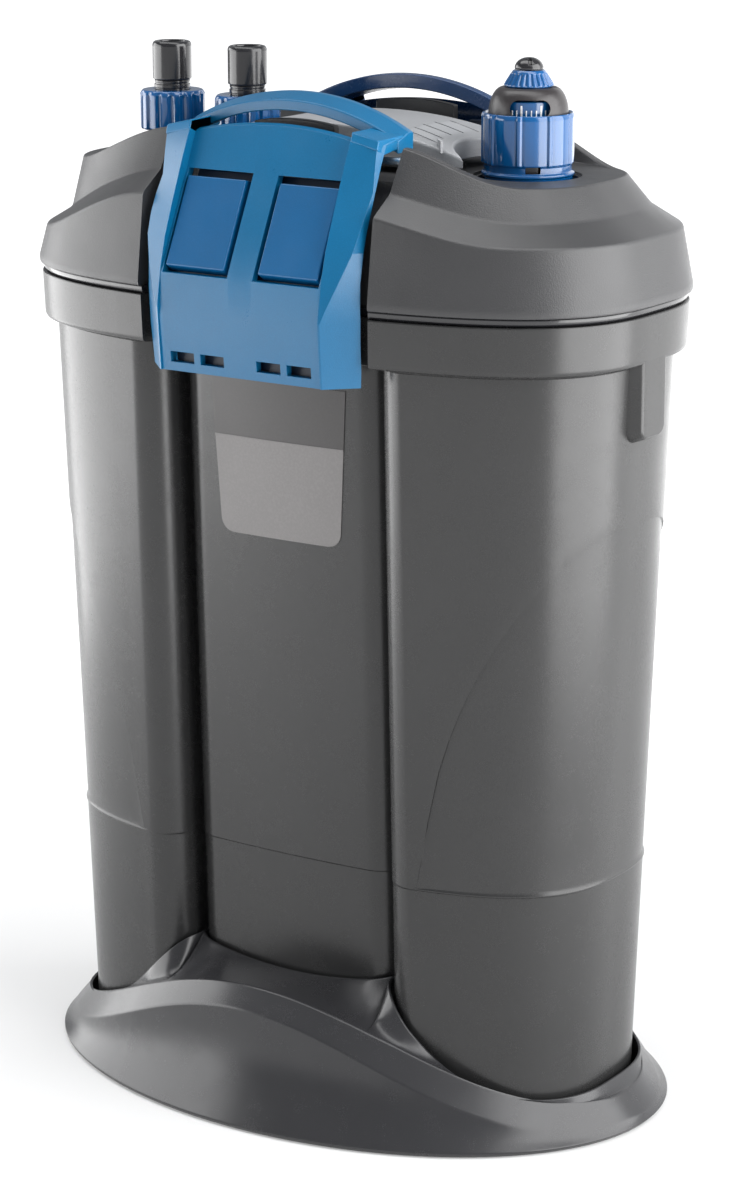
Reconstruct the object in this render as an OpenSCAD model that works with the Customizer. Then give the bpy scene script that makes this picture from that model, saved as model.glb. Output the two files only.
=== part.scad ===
// Canister filter with a built-in heater, two over-body latches with carrying hoops and a hand primer.
// Millimetres. +X runs along the long side towards the heater, +Z is up, the long front face looks along -Y.
// The origin is the middle of the base tray's underside.

/* [Canister and lid] */
// Half width of the lid skirt, across X
skirt_a = 151; // [149:0.5:153]
// Half depth of the lid skirt, across Y
skirt_b = 84; // [83:0.5:85]
// Roundness of the plan outline, 2 is an ellipse
plan_n = 2.9; // [2.8:0.05:3]
// Height of the canister's rim above the ground
rim_z = 362.5; // [360:0.5:365]
// Height of the band round the canister's rim
band_h = 21; // [20:0.5:22]
// Draft of the canister wall, inset gained for each mm down
draft = 0.0323; // [0.03:0.0005:0.034]
// Set-back of the middle panel behind the two columns
panel_set = 13.3; // [12:0.1:14]
// Wall thickness of the canister and the lid
wall = 3; // [2.5:0.1:3.2]

/* [Base tray] */
// Half width of the tray on the ground
tray_a = 153; // [151:0.5:155]
// Half depth of the tray on the ground
tray_b = 106; // [104:0.5:108]
// Height of the bow in the middle of the tray's long sides
bow_h = 52; // [46:1:54]

/* [Hose connections] */
// Distance of the inlet from the middle of the filter
inlet_x = -100.2; // [-101:0.1:-99.5]
// Distance of the outlet from the middle of the filter
outlet_x = -58.8; // [-59.5:0.1:-58.5]
// Radius of the hose tails where the hose grips
tail_r = 8.75; // [8:0.05:9]
// Height of the top of the hose tails
tail_top = 462; // [460:0.5:464]

/* [Heater] */
// Distance of the heater's axis from the middle of the filter
heater_x = 86; // [85.5:0.1:86.5]
// Direction that the heater's window faces, degrees from +X
window_turn = -56.5; // [-70:0.5:-45]
// Outer radius of the locking collar
collar_r = 19.9; // [19.5:0.1:20.2]

/* [Latches and primer] */
// Half width of the latch panel between its rails
panel_x = 41; // [40:0.5:41.5]
// Outer half width across the latch rails
rail_x = 54.5; // [54:0.5:55.5]
// Travel of the primer button
primer_stroke = 4; // [3:0.1:4]

/* [Hidden] */
$fn = 64;
eps = 0.01;

grey_lid = [0.44, 0.44, 0.45];
grey_body = [0.33, 0.33, 0.34];
charcoal = [0.24, 0.24, 0.25];
blue = [0.16, 0.42, 0.66];
navy = [0.08, 0.2, 0.42];
black = [0.07, 0.07, 0.08];
foam_blue = [0.2, 0.35, 0.6];

// ---- plan outlines: one quarter holds QN + 1 points, from the middle of the long side to the end ----
shoulder_x = 40;
shoulder_r = 14;
groove_x = 54.5;
corner_x = 69;
corner_r = 14;
notch_x = 57;
recess_x = 58.5;
end_angles = [66, 58, 50, 42, 34, 27, 20, 14, 9, 4.5, 0];
NOTCH_I = 8;
QN = 24;
ref_a = skirt_a - 10;

function sup(x, a, b) = b * pow(max(0, 1 - pow(min(abs(x) / a, 1), plan_n)), 1 / plan_n);
function inset_at(z) = 7.4 + (334 - z) * draft;

// quarter outline of the canister's wall: convex middle panel, groove, round column;
// the outside is inset d from the lid skirt, and t is the depth below it for an inner face
function wall_quarter(d, t = 0) =
    let (a = skirt_a - d, b = skirt_b - d, yp = b - panel_set, sr = shoulder_r - t, ys = yp - 1.3 - shoulder_r,
         cr = corner_r - t, cy = sup(corner_x, a, b) - corner_r)
    concat([[0, yp - t], [15, yp - 0.2 - t], [30, yp - 0.8 - t], [shoulder_x, yp - 1.3 - t]],
        [for (k = [70, 50, 30, 10]) [shoulder_x + sr * cos(k), ys + sr * sin(k)]],
        [[groove_x, ys + 1.8 - t], [corner_x - cr, cy]],
        [for (k = [155, 130, 105, 92]) [corner_x + cr * cos(k), cy + cr * sin(k)]],
        [for (k = end_angles) [(a - t) * pow(cos(k), 2 / plan_n), (b - t) * pow(sin(k), 2 / plan_n)]]);
BASE_Q = wall_quarter(10);

// the same points moved out to the plain outline, inset d from the lid skirt
function plain_quarter(d) = let (a = skirt_a - d, b = skirt_b - d)
    [for (p = BASE_Q) let (x = p[0] * a / ref_a) [x, sup(x, a, b)]];

// the plain outline with a flat notch at y = yn, where the latch passes
function notch_quarter(d, yn, xn) = let (a = skirt_a - d, b = skirt_b - d)
    [for (i = [0:QN]) let (p = BASE_Q[i])
        i <= NOTCH_I ? [p[0] * xn / groove_x, yn]
        : let (x = i == NOTCH_I + 1 ? xn + 0.4 : max(xn + 1 + (i - 10) * 0.5, p[0] * a / ref_a)) [x, sup(x, a, b)]];

// the tray's ellipse, inset e at the ends and f at the sides
function oval_quarter(e, f = -1) = let (a = tray_a - e, b = tray_b - (f < 0 ? e : f))
    [for (p = BASE_Q) let (x = p[0] + (a - ref_a) * pow(p[0] / ref_a, 4)) [x, b * sqrt(max(0, 1 - pow(x / a, 2)))]];

// four quarters make a ring, counter-clockwise from the front middle
function ring(q) = concat([for (i = [0:QN]) [q[i][0], -q[i][1]]], [for (i = [QN - 1:-1:0]) q[i]],
    [for (i = [1:QN]) [-q[i][0], q[i][1]]], [for (i = [QN - 1:-1:1]) [-q[i][0], -q[i][1]]]);
function level(q, z) = [for (p = ring(q)) [p[0], p[1], z]];

// a closed solid through a list of rings; both ends are closed by strips from front to back
module loft(rings) {
    n = 4 * QN;
    last = len(rings) - 1;
    h = 2 * QN;
    function strips(o, flip) = [for (s = [0, 1], i = [0:QN - 1])
        let (f = [s * h + i, s * h + i + 1, (s + 1) * h - i - 1, ((s + 1) * h - i) % n],
             g = i == QN - 1 ? [f[0], f[1], f[3]] : f, m = [for (k = g) k + o])
        flip ? [for (k = [len(m) - 1:-1:0]) m[k]] : m];
    sides = [for (j = [0:last - 1], i = [0:n - 1]) each let (k = (i + 1) % n, p = j * n, q = (j + 1) * n)
        [[p + i, q + i, q + k], [p + i, q + k, p + k]]];
    polyhedron([for (r = rings) each r], concat(strips(0, false), sides, strips(last * n, true)), convexity = 8);
}

function ease(a, b, x) = let (t = min(1, max(0, (x - a) / (b - a)))) t * t * (3 - 2 * t);

// ---- base tray ----
tray_floor = 3;
foot_h = 1.2;
pocket_gap = 1.2;
rim_gap = 3.4;
skirt_t = 3;
// bowed height of the tray's ribbon, and of the deck's inner edge with its two raised ears
function bow(x, p) = pow(abs(cos(90 * min(abs(x), 149.9) / 150)), p);
function bowed(q, z0, h, p) = [for (v = ring(q)) [v[0], v[1], z0 + h * bow(v[0], p)]];
function deck_edge(x) = abs(x) < 52 ? bow_h + 6.6 + 6 * pow(x / 52, 2) : 18 + 46.6 * exp(-pow((abs(x) - 52) / 32.2, 1.45));
function edged(q, drop) = [for (v = ring(q)) [v[0], v[1], deck_edge(v[0]) - drop]];

module base_tray() color(charcoal) {
    pocket = wall_quarter(inset_at(20) - pocket_gap);
    outside = plain_quarter(inset_at(20) - rim_gap - 2.5);
    loft([level(plain_quarter(inset_at(20) + 6), foot_h), level(outside, foot_h), edged(outside, skirt_t + 0.4),
        bowed(oval_quarter(12.5, 24.6), 11, bow_h - 7, 1.65), bowed(oval_quarter(5.5, 21.5), 3, bow_h - 8.7, 1.9),
        level(oval_quarter(skirt_t), 0), level(oval_quarter(0), 0), bowed(oval_quarter(3, 18.8), 5.4, bow_h - 7.7, 1.9),
        bowed(oval_quarter(10, 21.9), 14, bow_h - 6.5, 1.65), edged(wall_quarter(inset_at(20) - rim_gap), 0),
        level(pocket, 8), level(pocket, tray_floor)]);
}

module foot_pads() color(black)
    for (x = [-1, 1], y = [-1, 1]) translate([x * 90, y * 30, 0]) cylinder(r = 9, h = foot_h);

// ---- canister ----
step_z = 113;
band_z = rim_z - band_h;
module canister() color(grey_body) {
    floor_z = tray_floor;
    loft([level(wall_quarter(inset_at(floor_z) + 1.5), floor_z), level(wall_quarter(inset_at(floor_z)), floor_z + 2),
        level(wall_quarter(inset_at(step_z) + 0.5), step_z - 1), level(wall_quarter(inset_at(step_z)), step_z),
        level(wall_quarter(inset_at(band_z)), band_z), level(notch_quarter(4, 73.5, notch_x), band_z),
        level(notch_quarter(2, 75, notch_x), band_z + 3), level(notch_quarter(1.2, 75.5, notch_x), rim_z),
        level(notch_quarter(6, 71, notch_x), rim_z), level(notch_quarter(6, 71, notch_x), band_z + 5),
        level(wall_quarter(inset_at(band_z), wall), band_z - 6),
        level(wall_quarter(inset_at(floor_z + wall), wall), floor_z + wall)]);
}

label_top = 322;
label_h = 64;
module label_plate() color([0.5, 0.49, 0.48]) {
    b = skirt_b - inset_at(label_top - label_h / 2) - panel_set;
    slope = atan(draft);
    translate([0, -b - 0.5, label_top - label_h / 2]) rotate([90 + slope, 0, 0])
        linear_extrude(0.5) polygon([[-31, -label_h / 2], [31, -label_h / 2], [35, label_h / 2], [-35, label_h / 2]]);
}

// ---- gasket, lid and inner head base ----
gasket_h = 3.7;
lid_z = rim_z + gasket_h;
module rim_gasket() color(black) translate([0, 0, rim_z]) linear_extrude(gasket_h) difference() {
    polygon(ring(notch_quarter(2.4, 74.5, notch_x)));
    polygon(ring(notch_quarter(6, 71, notch_x)));
}

deck_z = 415.5;
left_deck_z = 419.5;
function crease_z(x) = x > 0 ? 394 + 12 * (1 - ease(40, 115, x)) : 383 + 23 * (1 - ease(55, 140, -x));
function tier_base_z(x) = crease_z(x) + 8.5 - 2.5 * ease(90, 130, -x);
function tier_top_z(x) = x > 0 ? deck_z + 15.5 * (1 - ease(52, 108, x)) : 413 + 18.5 * (1 - ease(58, 125, -x));
function deck_at(x) = x > -50 ? deck_z : min(left_deck_z, tier_top_z(x) - 0.3);

// ring of the lid: inset d right and dl at the left end; heights by mode; [yr, zr] behind the latches
function lid_height(mode, x) = mode == "crease" ? crease_z(x) : mode == "base" ? tier_base_z(x)
    : mode == "top" ? tier_top_z(x) : mode == "deck" ? deck_at(x) : 0;
function lid_ring(d, dl, mode, dz, yr, zr) =
    [for (k = [0:4 * QN - 1])
        let (i = k <= QN ? k : k <= 2 * QN ? 2 * QN - k : k <= 3 * QN ? k - 2 * QN : 4 * QN - k,
             sx = k <= 2 * QN ? 1 : -1, sy = (k <= QN || k > 3 * QN) ? -1 : 1,
             p = BASE_Q[i], dd = sx > 0 ? d : d + (dl - d) * ease(0.45, 0.95, p[0] / ref_a),
             a = skirt_a - dd, b = skirt_b - dd,
             xs = i == NOTCH_I + 1 ? recess_x + 0.5
                : max(recess_x + 1.2 + (i - 10) * 0.6, p[0] * a / ref_a),
             x = i <= NOTCH_I ? p[0] * recess_x / groove_x : min(xs, a),
             y = i <= NOTCH_I ? yr : sup(x, a, b),
             z = i <= NOTCH_I ? zr : mode == "flat" ? dz : lid_height(mode, sx * x) + dz)
        [sx * x, sy * y, z]];

pin_y = -55;
pin_z = 424.5;
pin_r = 2;
boss_at = [[100, 30], [100, -30], [-80, 34], [-80, -34]];
head_top = lid_z + 3;
ceiling_z = deck_z - 4;
primer_x = 8;

module lid_shell() loft([
    lid_ring(30, 26, "flat", ceiling_z, 47, ceiling_z), lid_ring(20.5, 18, "base", -3.5, 63, 396),
    lid_ring(8, 8, "crease", -3, 68, 380), lid_ring(3, 3, "flat", lid_z, 70, lid_z),
    lid_ring(0.4, 0.4, "flat", lid_z, 73, lid_z), lid_ring(0, 0, "flat", lid_z + 2, 73, lid_z + 2),
    lid_ring(4.5, 3.5, "crease", 0, 71, 380), lid_ring(17, 14, "base", 0, 66, 400),
    lid_ring(27, 19, "top", 0, 50, deck_z), lid_ring(31, 23, "top", 0, 46, deck_z),
    lid_ring(31.5, 23.5, "deck", 0, 45, deck_z)]);

// raised rib on the deck under each hoop
rib_y = 45;
rib_top = 438.2;
rib_r = 110;
module hoop_rib() translate([0, -rib_y, 0]) rotate([90, 0, 0]) linear_extrude(4) intersection() {
    translate([-20.5, deck_z - 1]) square([41, 30]);
    translate([0, rib_top - rib_r]) circle(r = rib_r, $fn = 128);
}

module lid() color(grey_lid) difference() {
    union() {
        lid_shell();
        hoop_rib();
        mirror([0, 1, 0]) hoop_rib();
        for (b = boss_at) translate([b[0], b[1], head_top]) cylinder(r = 5, h = ceiling_z + 1 - head_top);
    }
    for (b = boss_at) translate([b[0], b[1], head_top - 1]) cylinder(r = 1.6, h = 16);
    translate([heater_x, 0, ceiling_z - 2]) cylinder(r = 21.5, h = 20);
    for (x = [inlet_x, outlet_x]) translate([x, 0, ceiling_z - 2]) cylinder(r = 12.6, h = 20);
    translate([primer_x, 0, ceiling_z - 2]) cylinder(r = 6.5, h = 12);
    for (s = [-1, 1], t = [-1, 1]) translate([s * (recess_x + 4), t * pin_y, pin_z]) rotate([0, 90, 0])
        cylinder(r = pin_r, h = 14, center = true);
}

base_lo = 352;
rotor_hole = 12.8;
module head_base() color(charcoal) difference() {
    translate([0, 0, base_lo]) linear_extrude(head_top - base_lo) polygon(ring(notch_quarter(7.5, 68, recess_x + 2)));
    translate([primer_x, 0, base_lo - 1]) cylinder(r = rotor_hole, h = 30);
    translate([heater_x, 0, base_lo - 1]) cylinder(r = 13.4, h = 30);
    translate([inlet_x, 0, base_lo - 1]) cylinder(r = 8, h = 30);
    translate([outlet_x, 0, base_lo - 1]) cylinder(r = 8.9, h = 30);
    for (b = boss_at) translate([b[0], b[1], base_lo - 1]) cylinder(r = 2, h = 30);
}

module head_screws() color("silver") for (b = boss_at) translate([b[0], b[1], 0]) {
    translate([0, 0, base_lo - 3]) cylinder(r = 3.5, h = 3);
    translate([0, 0, base_lo - eps]) cylinder(r = 1.5, h = head_top + 12 - base_lo);
}

// ---- latches: drawn for the front, mirrored for the rear ----
hoop_top = 449.5;
hoop_y0 = 52;
hoop_y1 = 40;
hook_z = 340.2;
// outer face of the latch panel, as [y, z] going down
panel_face = [[-62, 434.5], [-69.6, 417], [-80, 395.5], [-89.7, 375], [-91.2, 356.7], [-89, 333]];
panel_back = [[-85.5, 333], [-87.6, 356.5], [-86.2, 373.8], [-76.6, 394], [-66.2, 415.5], [-59, 433]];
rail_front = [[-66, 436.5], [-74.8, 417.4], [-80.8, 402.9], [-86.2, 389.3], [-89.5, 377.1], [-92.2, 360.5],
    [-90, 333]];
rail_back = [[-78, 333], [-78.5, 342], [-79.8, 351.6], [-80.2, 377.2], [-77, 392.9], [-72, 405.5], [-62.2, 430],
    [-46, 432], [-46, 435.5]];

module along_x(x0, x1) translate([x0, 0, 0]) rotate([90, 0, 90]) linear_extrude(x1 - x0) children();

window_x = 6.4;
module latch_cover() {
    difference() {
        along_x(-panel_x - eps, panel_x + eps) polygon(concat(panel_face, panel_back));
        for (s = [-1, 1]) along_x(s > 0 ? window_x : -panel_x + 1, s > 0 ? panel_x - 1 : -window_x)
            polygon([[-100, 375], [-100, 417], [-50, 417], [-50, 375]]);
        for (s = [-1, 1], k = [0, 1]) translate([s * (14 + 14 * k) - 5, -95, 337]) cube([10, 12, 4]);
    }
    for (s = [-1, 1]) along_x(s > 0 ? panel_x : -rail_x, s > 0 ? rail_x : -panel_x)
        polygon(concat(rail_front, rail_back));
    hoop();
}

// carrying hoop: a flat arch between the shoulders of the rails
hoop_rise = 14;
hoop_half = rail_x;
module hoop() {
    r = (hoop_half * hoop_half + hoop_rise * hoop_rise) / (2 * hoop_rise);
    thick = 7;
    translate([0, -hoop_y1, 0]) rotate([90, 0, 0]) linear_extrude(hoop_y0 - hoop_y1) difference() {
        intersection() {
            translate([0, hoop_top - r]) circle(r = r, $fn = 128);
            translate([-hoop_half, 432]) square([2 * hoop_half, 30]);
        }
        translate([0, hoop_top - r - 1.5]) circle(r = r - thick + 1.5, $fn = 128);
    }
}

// inner lever: hinge lugs, the two pads that show in the windows and the hooks under the band
module latch_core() {
    difference() {
        union() {
            along_x(-39, 39) polygon([[-84.2, 342], [-86, 356.5], [-84.6, 373.4], [-75, 393.5], [-64, 416],
                [-61.5, 414.5], [-72.5, 392.2], [-81.6, 372.4], [-83, 356.5], [-81.5, 342]]);
            for (s = [-1, 1]) along_x(s > 0 ? window_x + 1.8 : -panel_x + 3, s > 0 ? panel_x - 3 : -window_x - 1.8)
                polygon([[-88.6, 377.5], [-70.8, 414.7], [-66, 412.6], [-84, 374.8]]);
            for (s = [-1, 1]) along_x(s > 0 ? 24 : -39, s > 0 ? 39 : -24)
                polygon([[-64, 416], [-58, 428], [-52, 429.5], [-50.5, 424.5], [-52, 419.5], [-61.5, 414.5]]);
            for (s = [-1, 1]) along_x(s > 0 ? 9 : -33, s > 0 ? 33 : -9)
                polygon([[-85, 336.5], [-84.2, 343], [-81.5, 343], [-80.5, 340.5], [-70, hook_z], [-70, 338.5],
                    [-80, 336.5]]);
        }
        translate([0, pin_y, pin_z]) rotate([0, 90, 0]) cylinder(r = pin_r + 0.05, h = 120, center = true);
    }
}

module latch_pin() translate([0, pin_y, pin_z]) rotate([0, 90, 0])
    cylinder(r = pin_r, h = 2 * (recess_x + 2), center = true);

module front_latch_cover() color(blue) latch_cover();
module front_latch_core() color(blue) latch_core();
module front_latch_pin() color("silver") latch_pin();
module rear_latch_cover() color(navy) mirror([0, 1, 0]) latch_cover();
module rear_latch_core() color(navy) mirror([0, 1, 0]) latch_core();
module rear_latch_pin() color("silver") mirror([0, 1, 0]) latch_pin();

// ---- hand primer ----
button_lo = deck_z + primer_stroke + 0.3;
button_r = 241;
button_top = 435;
module primer_button() color([0.72, 0.73, 0.74]) difference() {
    translate([0, 30, 0]) rotate([90, 0, 0]) linear_extrude(58) intersection() {
        translate([0, button_top - button_r]) circle(r = button_r, $fn = 128);
        translate([-41, button_lo]) square([113, 20]);
    }
    translate([0, 27, 0]) rotate([90, 0, 0]) linear_extrude(52) intersection() {
        translate([0, button_top - button_r]) circle(r = button_r - 3, $fn = 128);
        translate([-38, button_lo - 1]) square([94, 20]);
    }
    translate([heater_x, 0, button_lo - 1]) cylinder(r = 31, h = 30);
    for (k = [0:5]) translate([40 - 3 * abs(k - 2.5), -20 + 8 * k, button_top - 4]) rotate([0, 0, -35])
        cube([24, 1.2, 12], center = true);
}

plunger_top = button_top - 3.3;
piston_lo = 395.8 + primer_stroke;
module primer_plunger() color(black) {
    translate([primer_x, 0, piston_lo + 3]) cylinder(r = 5, h = plunger_top - piston_lo - 3);
    translate([primer_x, 0, piston_lo]) cylinder(r = 9.6, h = 4);
}

// compression spring round the plunger, a swept helix
spring_r = 8;
wire_r = 0.7;
spring_turns = 4.5;
spring_h = 14.4;
coil_steps = 14;
wire_sides = 6;
module primer_spring() color("silver") translate([primer_x, 0, deck_z + wire_r + 0.1]) {
    n = spring_turns * coil_steps;
    rings = [for (i = [0:n]) let (a = i * 360 / coil_steps, z = i / n * (spring_h - 2 * wire_r))
        [for (k = [0:wire_sides - 1]) let (b = k * 360 / wire_sides, r = spring_r + wire_r * cos(b))
            [r * cos(a), r * sin(a), z + wire_r * sin(b)]]];
    sides = [for (i = [0:n - 1], k = [0:wire_sides - 1]) each
        let (m = (k + 1) % wire_sides, p = i * wire_sides, q = p + wire_sides)
        [[p + k, p + m, q + m], [p + k, q + m, q + k]]];
    ends = [[for (k = [wire_sides - 1:-1:0]) k], [for (k = [0:wire_sides - 1]) n * wire_sides + k]];
    polyhedron([for (r = rings) each r], concat(sides, ends), convexity = 10);
}

module primer_cylinder() color(charcoal) translate([primer_x, 0, 0]) difference() {
    translate([0, 0, 394]) cylinder(r = 12, h = ceiling_z - 394);
    translate([0, 0, 395.5]) cylinder(r = 10, h = 30);
}

// ---- hose connections ----
nut_lo = 423;
nut_hi = 440.5;
spigot_top = 431;
bore_r = 6.2;
module spigot(x) translate([x, 0, 0]) difference() {
    union() {
        translate([0, 0, head_top]) cylinder(r = 14, h = 3);
        translate([0, 0, head_top + 3 - eps]) cylinder(r = 10.8, h = spigot_top - head_top - 3 + eps);
        for (k = [0:2]) translate([0, 0, 424 + 2.2 * k]) cylinder(r = 11.7, h = 1.1);
    }
    translate([0, 0, head_top - 1]) cylinder(r = bore_r, h = 80);
}
module inlet_spigot() color(black) spigot(inlet_x);
module outlet_spigot() color(black) spigot(outlet_x);

module oring(x, r, z, w) translate([x, 0, z]) rotate_extrude() translate([r, 0]) circle(r = w);
module inlet_oring() color(black) oring(inlet_x, 8.6, spigot_top + 1, 1);
module outlet_oring() color(black) oring(outlet_x, 8.6, spigot_top + 1, 1);

tail_grip = 17;
module hose_tail(x) translate([x, 0, 0]) difference() {
    union() {
        translate([0, 0, spigot_top + 2]) cylinder(r = 11.6, h = 3.6);
        translate([0, 0, spigot_top + 2]) cylinder(r = 7.7, h = tail_top - spigot_top - 4);
        translate([0, 0, nut_hi + 1]) cylinder(r = 8.1, h = 1.4);
        translate([0, 0, tail_top - tail_grip]) cylinder(r = tail_r, h = tail_grip - 1.2);
        translate([0, 0, tail_top - 1.2]) cylinder(r1 = tail_r, r2 = tail_r - 1, h = 1.2);
    }
    translate([0, 0, spigot_top]) cylinder(r = bore_r, h = 60);
}
module inlet_tail() color(black) hose_tail(inlet_x);
module outlet_tail() color(black) hose_tail(outlet_x);

nut_r = 14.6;
flutes = 16;
module union_nut(x) translate([x, 0, 0]) difference() {
    translate([0, 0, nut_lo]) cylinder(r = nut_r, h = nut_hi - nut_lo);
    translate([0, 0, nut_lo - 1]) cylinder(r = 12.2, h = nut_hi - nut_lo - 2);
    translate([0, 0, nut_lo]) cylinder(r = 8.1, h = 30);
    for (k = [0:flutes - 1]) rotate([0, 0, k * 360 / flutes]) translate([nut_r + 1.2, 0, nut_lo - 1])
        cylinder(r = 2.2, h = 16.5);
}
module inlet_nut() color(blue) union_nut(inlet_x);
module outlet_nut() color(blue) union_nut(outlet_x);

// ---- pump ----
rotor_top = 387;
module motor_housing() color(charcoal) translate([primer_x, 0, 0]) difference() {
    union() {
        translate([0, 0, head_top]) cylinder(r = 30, h = 393 - head_top);
        translate([0, 0, 354]) cylinder(r = 12.3, h = head_top - 354 + 1);
    }
    translate([0, 0, 353]) cylinder(r = 11.3, h = 390 - 353);
}

module impeller() color([0.85, 0.86, 0.88]) translate([primer_x, 0, 0]) difference() {
    union() {
        translate([0, 0, 357]) cylinder(r = 10.5, h = rotor_top - 357);
        translate([0, 0, 343]) cylinder(r = 5, h = 15);
        translate([0, 0, 343]) cylinder(r = 19, h = 2);
        for (k = [0:5]) rotate([0, 0, k * 60]) translate([3, -0.9, 344]) cube([16, 1.8, 6.5]);
    }
    translate([0, 0, 340]) cylinder(r = 1.55, h = 60);
}

module impeller_shaft() color("white") translate([primer_x, 0, 337]) cylinder(r = 1.5, h = 390 - 337);
module bush(z, r, h) translate([primer_x, 0, z]) difference() {
    cylinder(r = r, h = h);
    translate([0, 0, -1]) cylinder(r = 1.5, h = h + 2);
}
module upper_bush() color(black) bush(388, 11.3, 2);
module lower_bush() color(black) bush(337, 4, 4);

volute_r = 26;
module volute_cover() color(charcoal) translate([primer_x, 0, 0]) difference() {
    translate([0, 0, 334]) cylinder(r = volute_r, h = base_lo - 334);
    translate([0, 0, 337]) cylinder(r = volute_r - 3, h = 30);
    for (k = [0:2]) rotate([0, 0, 60 + k * 120]) translate([9, 0, 330]) cylinder(r = 3.4, h = 10);
    translate([-volute_r - 2, 0, 343.5]) rotate([0, 90, 0]) cylinder(r = 8.3, h = 8);
}

duct_r = 8;
module outlet_duct() color(charcoal) difference() {
    union() {
        translate([outlet_x, 0, 343.5]) rotate([0, 90, 0]) cylinder(r = duct_r, h = primer_x - volute_r + 2.5 - outlet_x);
        translate([outlet_x, 0, 343.5]) sphere(r = duct_r);
        translate([outlet_x, 0, 343.5]) cylinder(r = duct_r, h = head_top - 343.5);
    }
    translate([outlet_x, 0, 343.5]) rotate([0, 90, 0]) cylinder(r = bore_r, h = 100);
    translate([outlet_x, 0, 343.5]) sphere(r = bore_r);
    translate([outlet_x, 0, 343.5]) cylinder(r = bore_r, h = 40);
}

riser_r = 10;
module riser_tube() color([0.75, 0.78, 0.8]) translate([inlet_x, 0, 22]) difference() {
    cylinder(r = riser_r, h = base_lo - 22);
    translate([0, 0, -1]) cylinder(r = riser_r - 2, h = base_lo);
}
module riser_foot() color(black) translate([inlet_x, 0, tray_floor + wall]) difference() {
    cylinder(r = 14, h = 16);
    translate([0, 0, 3]) cylinder(r = riser_r - 2, h = 30);
    for (k = [0:5]) rotate([0, 0, k * 60]) translate([14, 0, 9]) cube([20, 4, 8], center = true);
}

// ---- media trays ----
tray_x0 = -84;
tray_x1 = 70;
tray_y = 34;
tray_h = 98;
module tray_plan(inset) {
    r = 9;
    translate([tray_x0 + r, -tray_y + r]) hull_free_rect(tray_x1 - tray_x0 - 2 * r, 2 * tray_y - 2 * r, r - inset);
}
module hull_free_rect(w, d, r) {
    translate([-r, 0]) square([w + 2 * r, d]);
    translate([0, -r]) square([w, d + 2 * r]);
    for (x = [0, w], y = [0, d]) translate([x, y]) circle(r = r);
}
module media_tray(k) translate([0, 0, tray_floor + wall + k * tray_h]) difference() {
    linear_extrude(tray_h) tray_plan(0);
    translate([0, 0, 2.5]) linear_extrude(tray_h) tray_plan(2);
    for (i = [0:6], j = [-1:1]) translate([tray_x0 + 14 + i * 19, j * 21 - 8, -1]) cube([12, 16, 5]);
}
module tray_low() color(charcoal) media_tray(0);
module tray_mid() color(charcoal) media_tray(1);
module tray_top() color(charcoal) media_tray(2);
module foam_block(k, h) translate([0, 0, tray_floor + wall + 2.5 + k * tray_h]) linear_extrude(h) tray_plan(2.4);
module foam_low() color(foam_blue) foam_block(0, 88);
module foam_mid() color([0.25, 0.26, 0.28]) foam_block(1, 88);
module foam_top() color([0.9, 0.9, 0.88]) foam_block(2, 70);

handle_lo = tray_floor + wall + 3 * tray_h;
module tray_handle() color(blue) translate([tray_x0 + 22, -4, handle_lo]) difference() {
    cube([110, 8, 26]);
    translate([8, -1, -1]) cube([94, 10, 20]);
}

// ---- heater ----
socket_top = 436;
module heater_socket() color(black) translate([heater_x, 0, 0]) difference() {
    translate([0, 0, head_top]) cylinder(r = 16.4, h = socket_top - head_top);
    translate([0, 0, head_top - 1]) cylinder(r = 11.4, h = socket_top - head_top - 4);
}

dome_r = 16.9;
dome_z = 441;
dome_h = 11.5;
dome_top_r = 10.9;
dome_t = 1.5;
function dome_arc(t) = [for (k = [0:12]) let (s = k * 7.5)
    [dome_top_r + (dome_r - dome_top_r) * cos(s) - t, dome_z + dome_h * sin(s)]];
module heater_dome() color([0.3, 0.29, 0.3]) translate([heater_x, 0, 0]) difference() {
    rotate_extrude() polygon(concat([[dome_r - dome_t, socket_top], [dome_r, socket_top]], dome_arc(0),
        [for (k = [12:-1:0]) dome_arc(dome_t)[k] - [0, k > 10 ? dome_t : 0]]));
    rotate([0, 0, window_turn]) translate([8, 0, 444.5]) rotate([0, 90, 0]) {
        for (s = [-1, 1]) translate([0, s * 4.7, 0]) cylinder(r = 3.5, h = 20);
        translate([-3.5, -4.7, 0]) cube([7, 9.4, 20]);
    }
}

dial_top = 447.3;
stem_bore = 3.1;
module heater_dial() color(blue) translate([heater_x, 0, 0]) difference() {
    translate([0, 0, socket_top + 0.6]) cylinder(r = 13.2, h = dial_top - socket_top - 0.6);
    translate([0, 0, 430]) cylinder(r = stem_bore, h = 30);
    translate([0, 0, 430]) cylinder(r = 11, h = 14);
}

knob_flutes = 24;
knob_lo = dome_z + dome_h + 0.3;
module heater_knob() color(blue) translate([heater_x, 0, 0]) difference() {
    union() {
        translate([0, 0, dial_top]) cylinder(r = 8.8, h = knob_lo + 0.5 - dial_top);
        translate([0, 0, knob_lo]) cylinder(r1 = 10.4, r2 = 7.6, h = 4.7);
        translate([0, 0, knob_lo + 4.7 - eps]) cylinder(r1 = 7.6, r2 = 6.4, h = 2);
    }
    translate([0, 0, 430]) cylinder(r = stem_bore, h = 40);
    for (k = [0:knob_flutes - 1]) rotate([0, 0, k * 360 / knob_flutes]) translate([10.6, 0, 452.8])
        rotate([0, -31, 0]) cylinder(r = 0.55, h = 6);
}

module heater_cap() color(black) translate([heater_x, 0, 0]) {
    translate([0, 0, socket_top]) cylinder(r = 2.7, h = 459.9 - socket_top);
    translate([0, 0, 459.8]) rotate_extrude() polygon([[0, 0], [6.1, 0], [5.2, 1.7], [3.8, 3.4], [2, 4.6], [0, 4.9]]);
}

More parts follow.
